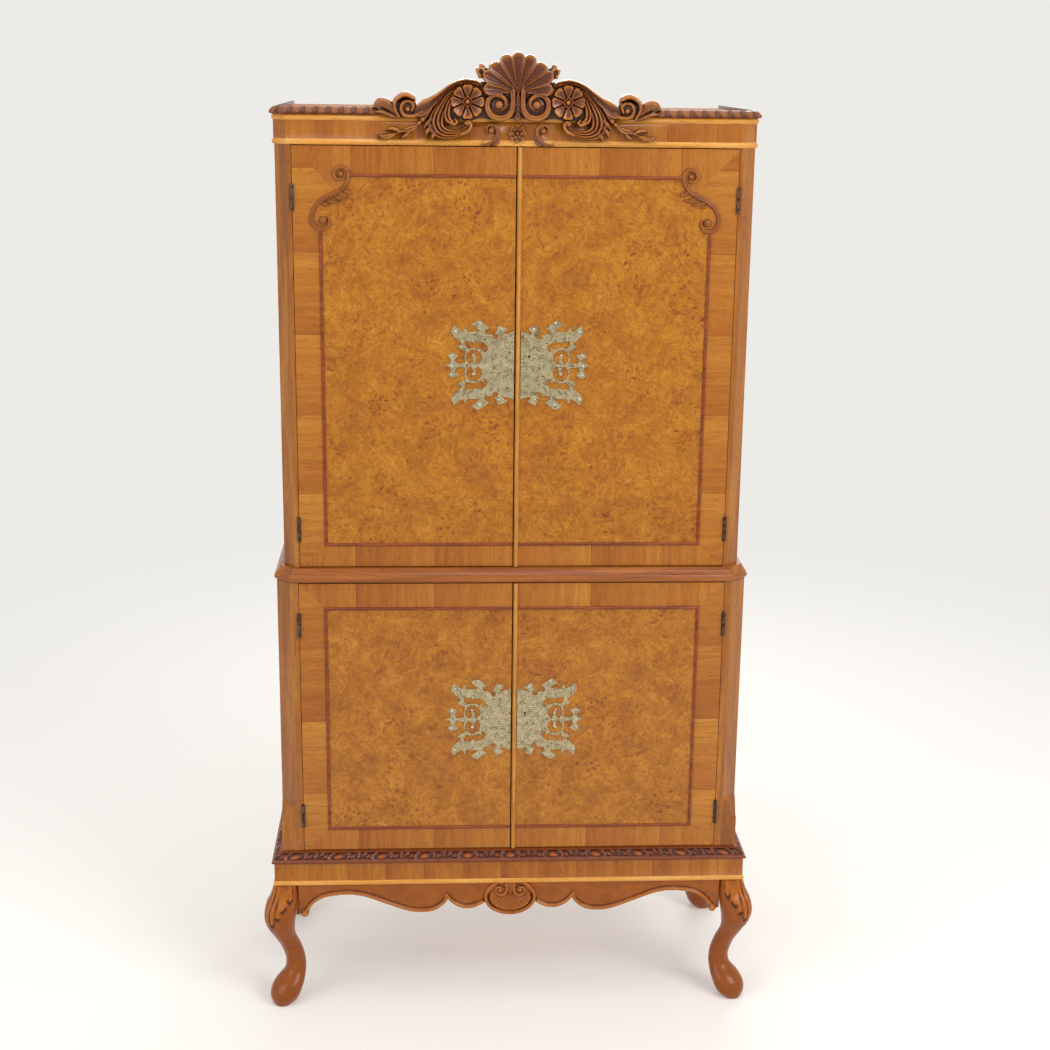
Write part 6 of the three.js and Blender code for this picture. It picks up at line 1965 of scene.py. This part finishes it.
@dataclass
class Base:
    """The base moulding with its carved eggs, the base frieze and the aprons.

    Attributes:
        half: Half the lower case's width.
        front: The y of the lower case's front.
        back: The y of the case's back.
        floor: Level of the moulding's foot.
        rise: The moulding's height.
        reach: How far it stands out.
        pitch: Length of one egg with its darts.
        apron_half: Half the front apron's length.
        apron_top: Level of its top edge.
        apron_drop: How far its lower edge hangs under that.
        apron_face: The y of its face.
        apron_board: Its thickness.
        oval: Half the width and half the height of its cartouche.
        oval_level: Level of the cartouche's middle.
        egg: Half the width and half the height of an egg.
        cup: The same of the cup round it.
        husk: The same of the husk beside it.
        husk_place: Distance of the husk's middle from the egg's.
        sink: How far the ground between them lies behind the face.
    """

    half: float = 440.0
    front: float = -187.76
    back: float = 225.2
    floor: float = 303.3
    rise: float = 19.7
    reach: float = 20.0
    pitch: float = 81.0
    apron_half: float = 411.7
    apron_top: float = 256.2
    apron_drop: float = 68.2
    apron_face: float = -198.76
    apron_board: float = 20.0
    oval: Point = (51.5, 38.5)
    oval_level: float = 226.6
    egg: Point = (9.5, 6.6)
    cup: Point = (18.5, 11.5)
    husk: Point = (4.2, 5.6)
    husk_place: float = 25.5
    sink: float = 2.4

    def build(self) -> None:
        """Make and dress the base."""
        hang(self.moulding(), "cabinet", BASE_CARVED, "base_moulding")
        polished("base_frieze", BASE_VENEER, 0.0)
        for side in Side:
            polished(f"{side.word}_apron", SIDE_WALNUT, 1.5)
        hang(self.apron(), "cabinet", APRON_WALNUT, "front_apron")
        hang(self.cartouche(), "cabinet", APRON_WALNUT)

    def moulding(self) -> Object:
        """Run the base moulding round three sides and carve its face."""
        plan = [
            (-self.half, self.back), (-self.half, self.front), (self.half, self.front),
            (self.half, self.back),
        ]
        shares = [
            (0.8, 0.0), (0.95, 0.03), (1.0, 0.12), (0.95, 0.2), (0.8, 0.24), (0.76, 0.29), (0.74, 0.34),
            (0.72, 0.39), (0.69, 0.44), (0.66, 0.49), (0.62, 0.54), (0.57, 0.59), (0.51, 0.64),
            (0.45, 0.69), (0.38, 0.74), (0.3, 0.8), (0.25, 0.84), (0.3, 0.88), (0.29, 0.95), (0.2, 1.0),
        ]
        face = [(out * self.reach, self.floor + up * self.rise) for out, up in shares]
        back = [(0.3, self.floor + self.rise), (0.3, self.floor)]
        return CarvedRun("base_carved_moulding", plan, face, back, self.eggs, 1.1).build()

    def eggs(self, along: Array, up: Array) -> Array:
        """Carve eggs in their cups with darts between them, on the hollow of the moulding.

        Args:
            along: Places along the run, in millimetres from its middle.
            up: Shares up the face.

        Returns:
            How far the face stands out at each place.
        """
        rise = (up - 0.52) * 27
        across = np.abs(((along / self.pitch + 0.5) % 1 - 0.5) * self.pitch)
        egg = np.hypot(across / self.egg[0], rise / self.egg[1])
        cup = np.hypot(across / self.cup[0], rise / self.cup[1])
        husk = np.hypot((across - self.husk_place) / self.husk[0], rise / self.husk[1])
        dart = np.abs(across - self.pitch / 2) / (5.6 + 0.62 * rise)
        body = 4.6 * dome(egg)
        ring = 3.4 * bell(cup - 1, 0.13)
        leaf = 2.6 * dome(husk)
        point = 3.6 * clipped(1 - np.abs(dart - 0.6) / 0.42)
        fade = clipped((up - 0.26) / 0.05) * clipped((0.83 - up) / 0.05)
        return fade * (np.maximum.reduce([body, ring, leaf, point]) - self.sink)

    def edge(self) -> tuple[list[Point], list[Point]]:
        """Give the right half of the apron's lower edge: the outer curve, and the one by the cartouche."""
        outer = [
            (0.973, 0.94), (0.933, 0.62), (0.89, 0.45), (0.848, 0.37), (0.777, 0.325), (0.72, 0.35),
            (0.665, 0.44), (0.571, 0.66), (0.49, 0.84), (0.427, 0.905), (0.362, 0.86), (0.315, 0.66),
            (0.299, 0.47),
        ]
        inner = [(0.299, 0.44), (0.267, 0.662), (0.219, 0.8), (0.172, 0.78), (0.13, 0.66)]
        half, top, drop = self.apron_half, self.apron_top, self.apron_drop
        return tuple([(x * half, top - d * drop) for x, d in line] for line in (outer, inner))

    def apron(self) -> Object:
        """Cut the front apron's board and carve the bead along its lower edge."""
        outer, inner = self.edge()
        oval = self.ellipse(0, np.linspace(0, -math.pi / 2, 9))
        lower = [*map(tuple, curve(outer, 3)), *map(tuple, curve(inner, 3)), *oval]
        right = [(self.apron_half, self.apron_top), (self.apron_half, outer[0][1] + 4), *lower]
        board = Ground([*right, *[(-x, z) for x, z in reversed(right)]], 1.4)
        lifted = [[(x, z + 3.6) for x, z in line] for line in (outer, inner)]
        above = [[(x, z + 9.4) for x, z in line] for line in (outer, inner)]
        motifs = [
            board, *[Channel(line, 4.2, 0.0) for line in above],
            *[Ridge(line, (7.2, 7.2), (4.4, 4.4)) for line in lifted],
            Ball((outer[0][0] - 2, outer[0][1] + 3.5), 7.4, 7.0),
        ]
        return CarvedRelief(
            "front_apron_carved", (-self.apron_half, 187.9), (self.apron_half, self.apron_top),
            self.apron_face + self.apron_board, self.apron_board - 0.2, motifs, 1.4,
        ).build()

    def ellipse(self, inset: float, turns: Array) -> list[Point]:
        """Give places on the cartouche's oval, this far inside it, at these turns in radians."""
        wide, tall = self.oval[0] - inset, self.oval[1] - inset
        return [(wide * math.cos(a), self.oval_level + tall * math.sin(a)) for a in turns]

    def cartouche(self) -> Object:
        """Carve the oval shell: a rolled rim, fine ribs that fan down, and two curls above."""
        wide, tall = self.oval
        low, high = self.oval_level - tall, self.apron_top
        rim = self.ellipse(4, np.linspace(math.pi / 2 + 0.6, -math.pi / 2, 26))
        oval = self.ellipse(0, np.linspace(0, 2 * math.pi, 64, endpoint=False))
        level = self.oval_level
        curl = [
            (8, level + 26), (7, level + 14), (12.5, level + 5.5), (22, level + 4.5), (28, level + 12),
            (25, level + 20), (18, level + 19),
        ]
        motifs = [
            Ground(oval, 0.6),
            Shell((0, level + 12), (44, 44.5, 45, 44, 42, 39), 15, 112, 1.6, 5.2, 1.0, True, 0.02),
            Channel([(x * 0.86, level + (z - level) * 0.84) for x, z in rim[6:]], 2.6, 0.4),
            Ridge(rim, (7.6, 7.6), (5.8, 5.8)),
            Ridge([(43, level + 10), (36, level + 16), (28, level + 22)], (5, 8, 6), (4, 5, 4), 5.0, 0.2),
            Ridge([(0, level + 30), (0, level + 16), (0, level + 2)], (16, 12, 3), (4, 5, 4), groove=0.4),
            Ridge(curl, (6.5, 6.5, 6.5, 6, 5.5, 5), (5, 6, 6, 6, 6, 5.4)),
            Ball((19.5, level + 13.5), 5.6, 5.8),
        ]
        return CarvedRelief(
            "apron_cartouche", (-wide, low), (wide, high), self.apron_face + 0.2, 1.0, motifs, 0.6,
        ).build()


LEG_STATIONS = (
    (0.0, 0.29, 0.53, 1.0),
    (0.033, 0.38, 0.78, 1.0),
    (0.071, 0.44, 0.93, 1.0),
    (0.123, 0.55, 0.985, 1.0),
    (0.178, 0.75, 0.92, 1.0),
    (0.242, 1.04, 0.7, 1.0),
    (0.3, 1.11, 0.625, 1.0),
    (0.37, 1.05, 0.62, 1.0),
    (0.471, 0.82, 0.64, 1.0),
    (0.578, 0.47, 0.7, 0.95),
    (0.676, 0.28, 0.89, 0.8),
    (0.762, 0.275, 1.0, 0.68),
    (0.84, 0.37, 0.97, 0.58),
    (0.913, 0.54, 0.845, 0.48),
    (1.0, 0.62, 0.71, 0.4),
)


@dataclass
class CabrioleLeg:
    """A cabriole leg on a pad foot, carved with leaf flutes on the knee if it is a front one.

    Attributes:
        side: Left or right.
        front: Whether it stands at the front.
        height: Its height.
        spread: The size that its stations are shares of.
        base_half: Half the base's width.
        base_front: The y of the base's front.
        rear_line: The y of the rear legs' middle.
        rows: How many rings.
        around: How many points in a ring.
        feather: The angle that one feather of the knee takes, in degrees.
        feathered: The angle from the corner to the last feather's edge.
        feather_length: Length of the middle feather, as a share of the height.
        flute: How deep the cut between two feathers is.
        ledge: How deep the ground under their tips is.
    """

    side: Side
    front: bool
    height: float = 256.2
    spread: float = 31.0
    base_half: float = 455.0
    base_front: float = -202.76
    rear_line: float = 189.24
    rows: int = 150
    around: int = 72
    feather: float = 18.0
    feathered: float = 86.0
    feather_length: float = 0.35
    flute: float = 3.6
    ledge: float = 2.2

    def build(self) -> None:
        """Make the leg from rings, carve it and hang it."""
        row = "front" if self.front else "rear"
        node = f"{row}_{self.side.word}_leg"
        points, relief = self.rings()
        hang(skin(node + "_carved", points, self.around, relief), "cabinet", LEG_WALNUT, node)

    def rings(self) -> tuple[Array, Array]:
        """Give the leg's points and how raised or hollow each is, for the painted highlight and shade."""
        stations = curve([station[:2] for station in LEG_STATIONS], 0.005)
        table = np.array(LEG_STATIONS)
        levels = np.linspace(0, 1, self.rows)
        inset = np.interp(levels, stations[:, 0], stations[:, 1]) * self.spread
        wide = curve([(row[0], row[2]) for row in LEG_STATIONS], 0.005)
        half = np.interp(levels, wide[:, 0], wide[:, 1]) * self.spread
        square = np.interp(levels, table[:, 0], table[:, 3])
        angle = 2 * math.pi * (np.arange(self.around) + 0.5) / self.around
        power = square[:, None]
        bulge_x = np.sign(np.cos(angle)) * np.abs(np.cos(angle)) ** power
        bulge_y = np.sign(np.sin(angle)) * np.abs(np.sin(angle)) ** power
        sign = self.side.value
        centre_x = sign * (self.base_half - inset)
        centre_y = self.base_front + inset if self.front else np.full(self.rows, self.rear_line)
        x = centre_x[:, None] + half[:, None] * bulge_x
        y = centre_y[:, None] + half[:, None] * bulge_y
        z = np.repeat(levels[:, None] * self.height, self.around, axis=1)
        relief = np.full(x.shape, 0.55)
        if self.front:
            push, carved = self.knee(sign * bulge_x, -bulge_y, levels[:, None])
            x = x + push * bulge_x * 0.8
            y = y + push * bulge_y * 0.8
            # The carved knee is painted lighter and its flutes darker: painted highlight and shade.
            relief = clipped(0.52 + 0.3 * carved + push * 0.26)
        return np.stack([x.ravel(), y.ravel(), z.ravel()], 1), relief.ravel()

    def knee(self, out: Array, fore: Array, level: Array) -> tuple[Array, Array]:
        """Carve the knee's feathers: flutes that run down from the leg's top to rounded tips.

        Args:
            out: How far each point of a ring lies to the leg's outer side, as a share.
            fore: How far it lies to the front.
            level: The ring's height as a share of the leg's.

        Returns:
            How far the surface moves out, in millimetres, where hollows are negative, and how fully
            each place is carved.
        """
        corner = np.degrees(np.arctan2(out - fore, out + fore))
        drop = 1.0 - level
        lobe = (corner / self.feather + 0.5) % 1
        off = np.abs(2 * lobe - 1)
        middle = self.feather * np.floor(corner / self.feather + 0.5)
        tip = self.feather_length - 0.0033 * np.abs(middle) - 0.026 * off**2.2
        share = clipped((tip - drop) / 0.01)
        reach = clipped((self.feathered - np.abs(corner)) / 6)
        flute = self.flute * (dome(off) - 1)
        ledge = -self.ledge * bell(drop - tip - 0.012, 0.014)
        return reach * np.where(drop < tip, flute * share, ledge), reach * share


@dataclass
class Studio:
    """A pale floor, soft lamps and the camera at the photograph's angle.

    Attributes:
        floor: The floor's colour.
        backdrop: The backdrop's colour, which the floor fades into.
        place: The camera's place in metres.
        turn: The camera's rotation in degrees.
        lens: Its focal length.
        film: The width of its frame.
        radius: The floor's radius in metres.
        fade: Where the floor starts and ends to fade, in metres from its middle.
        lift: How much the floor is lightened where it is seen.
        sky: How bright the room is, and its colour.
    """

    floor: str = "#E9E6E0"
    backdrop: str = "#EDEBE7"
    place: tuple[float, float, float] = (-0.151845, -3.279486, 1.795317)
    turn: tuple[float, float, float] = (75.124958, -0.675586, -3.023394)
    lens: float = 59.4033
    film: float = 36.0
    radius: float = 9.0
    fade: Point = (1.1, 3.6)
    lift: float = 0.3
    sky: tuple[float, str] = (0.42, "#F4F6FA")

    def build(self) -> None:
        """Set up the room."""
        self.lay_floor()
        self.light_world()
        self.add_lamp("key_lamp", (2.6, -2.9, 3.1), (0.1, 0.0, 0.95), 2.2, 92)
        self.add_lamp("fill_lamp", (-3.1, -2.6, 2.2), (0.0, 0.0, 0.8), 2.8, 52)
        self.add_lamp("back_lamp", (0.6, 3.2, 3.2), (0.0, 0.2, 1.0), 2.6, 60)
        self.add_lamp("top_lamp", (0.0, -0.6, 4.2), (0.0, 0.0, 1.0), 2.6, 40)
        self.add_camera()
        bpy.context.scene.view_settings.view_transform = "Standard"

    def seen(self, tree: Tree) -> tuple[Node, Node]:
        """Give the kinds of rays, and 1 for those of the camera and of reflections."""
        rays = add_node(tree, "LightPath")
        pair = {0: rays.outputs["Is Camera Ray"], 1: rays.outputs["Is Glossy Ray"]}
        return rays, add_node(tree, "Math", pair, operation="MAXIMUM")

    def lay_floor(self) -> None:
        """Lay a round pale floor."""
        deselect()
        bpy.ops.mesh.primitive_circle_add(vertices=96, radius=self.radius, fill_type="NGON")
        floor = bpy.context.object
        floor.name = "studio_floor"
        made = bpy.data.materials.new("pale studio floor")
        tree = fresh_tree(made)
        place = add_node(tree, "TexCoord").outputs["Object"]
        away = add_node(tree, "VectorMath", {0: place}, operation="LENGTH")
        start, end = self.fade
        span = {0: away.outputs["Value"], 1: start, 2: end}
        fade = add_node(tree, "MapRange", span, interpolation_type="SMOOTHSTEP")
        _, seen = self.seen(tree)
        far = add_node(tree, "Math", {0: fade, 1: seen}, operation="MULTIPLY")
        lift = add_node(tree, "Math", {0: seen, 1: self.lift}, operation="MULTIPLY")
        matt = add_node(tree, "BsdfDiffuse", {"Color": linear(self.floor)})
        glow = add_node(tree, "Emission", {"Color": linear(self.floor), "Strength": lift})
        near = add_node(tree, "AddShader", {0: matt, 1: glow})
        plain = add_node(tree, "Emission", {"Color": linear(self.backdrop), "Strength": 1.0})
        both = add_node(tree, "MixShader", {0: far, 1: near, 2: plain})
        add_node(tree, "OutputMaterial", {"Surface": both})
        floor.data.materials.append(made)

    def light_world(self) -> None:
        """Light the room evenly, and show the camera a pale backdrop."""
        world = bpy.data.worlds.new("studio")
        bpy.context.scene.world = world
        tree = fresh_tree(world)
        rays, seen = self.seen(tree)
        through = rays.outputs["Is Transmission Ray"]
        clear = add_node(tree, "Math", {0: seen, 1: through}, operation="MAXIMUM")
        shown = add_node(tree, "Background", {"Color": linear(self.backdrop), "Strength": 1.0})
        lit = add_node(tree, "Background", {"Color": linear(self.sky[1]), "Strength": self.sky[0]})
        both = add_node(tree, "MixShader", {0: clear, 1: lit, 2: shown})
        add_node(tree, "OutputWorld", {"Surface": both})

    def add_lamp(
        self, name: str, place: tuple[float, ...], target: tuple[float, ...], size: float, power: float
    ) -> None:
        """Hang one soft square lamp.

        Args:
            name: Its name.
            place: Where it hangs, in metres.
            target: What it points at.
            size: The side of its square.
            power: Its power in watts.
        """
        light = bpy.data.lights.new(name, "AREA")
        light.size, light.energy = size, power
        lamp = add_object(name, light)
        lamp.location = place
        lamp.rotation_euler = (Vector(target) - Vector(place)).to_track_quat("-Z", "Y").to_euler()

    def add_camera(self) -> None:
        """Stand the camera where the photograph was taken from."""
        data = bpy.data.cameras.new("camera")
        data.lens, data.sensor_width = self.lens, self.film
        camera = add_object("camera", data)
        camera.location = self.place
        camera.rotation_euler = [math.radians(angle) for angle in self.turn]
        bpy.context.scene.camera = camera


@dataclass
class Cabinet:
    """The whole cabinet, sub-assembly by sub-assembly."""

    parts: list[object] = field(default_factory=list)

    def __post_init__(self) -> None:
        """List the sub-assemblies in the order they are built."""
        doors = [
            Door(stage, side, *sizes)
            for stage, *sizes in (("upper", UPPER_BURR, 1268.7, True), ("lower", LOWER_BURR, 590.5, False))
            for side in Side
        ]
        legs = [CabrioleLeg(side, front) for side in Side for front in (True, False)]
        self.parts = [
            Stage("upper"), Stage("lower"), Boards(), *doors, Cornice(), Pediment(), FriezeCarvings(),
            Base(), *legs,
        ]

    def build(self) -> None:
        """Build every sub-assembly."""
        for part in self.parts:
            part.build()
            log.info("built %s", type(part).__name__)


def main() -> None:
    """Build the cabinet and its studio."""
    logging.basicConfig(level=logging.INFO, format="%(message)s")
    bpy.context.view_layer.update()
    Cabinet().build()
    Studio().build()
    deselect()


if __name__ == "__main__":
    main()
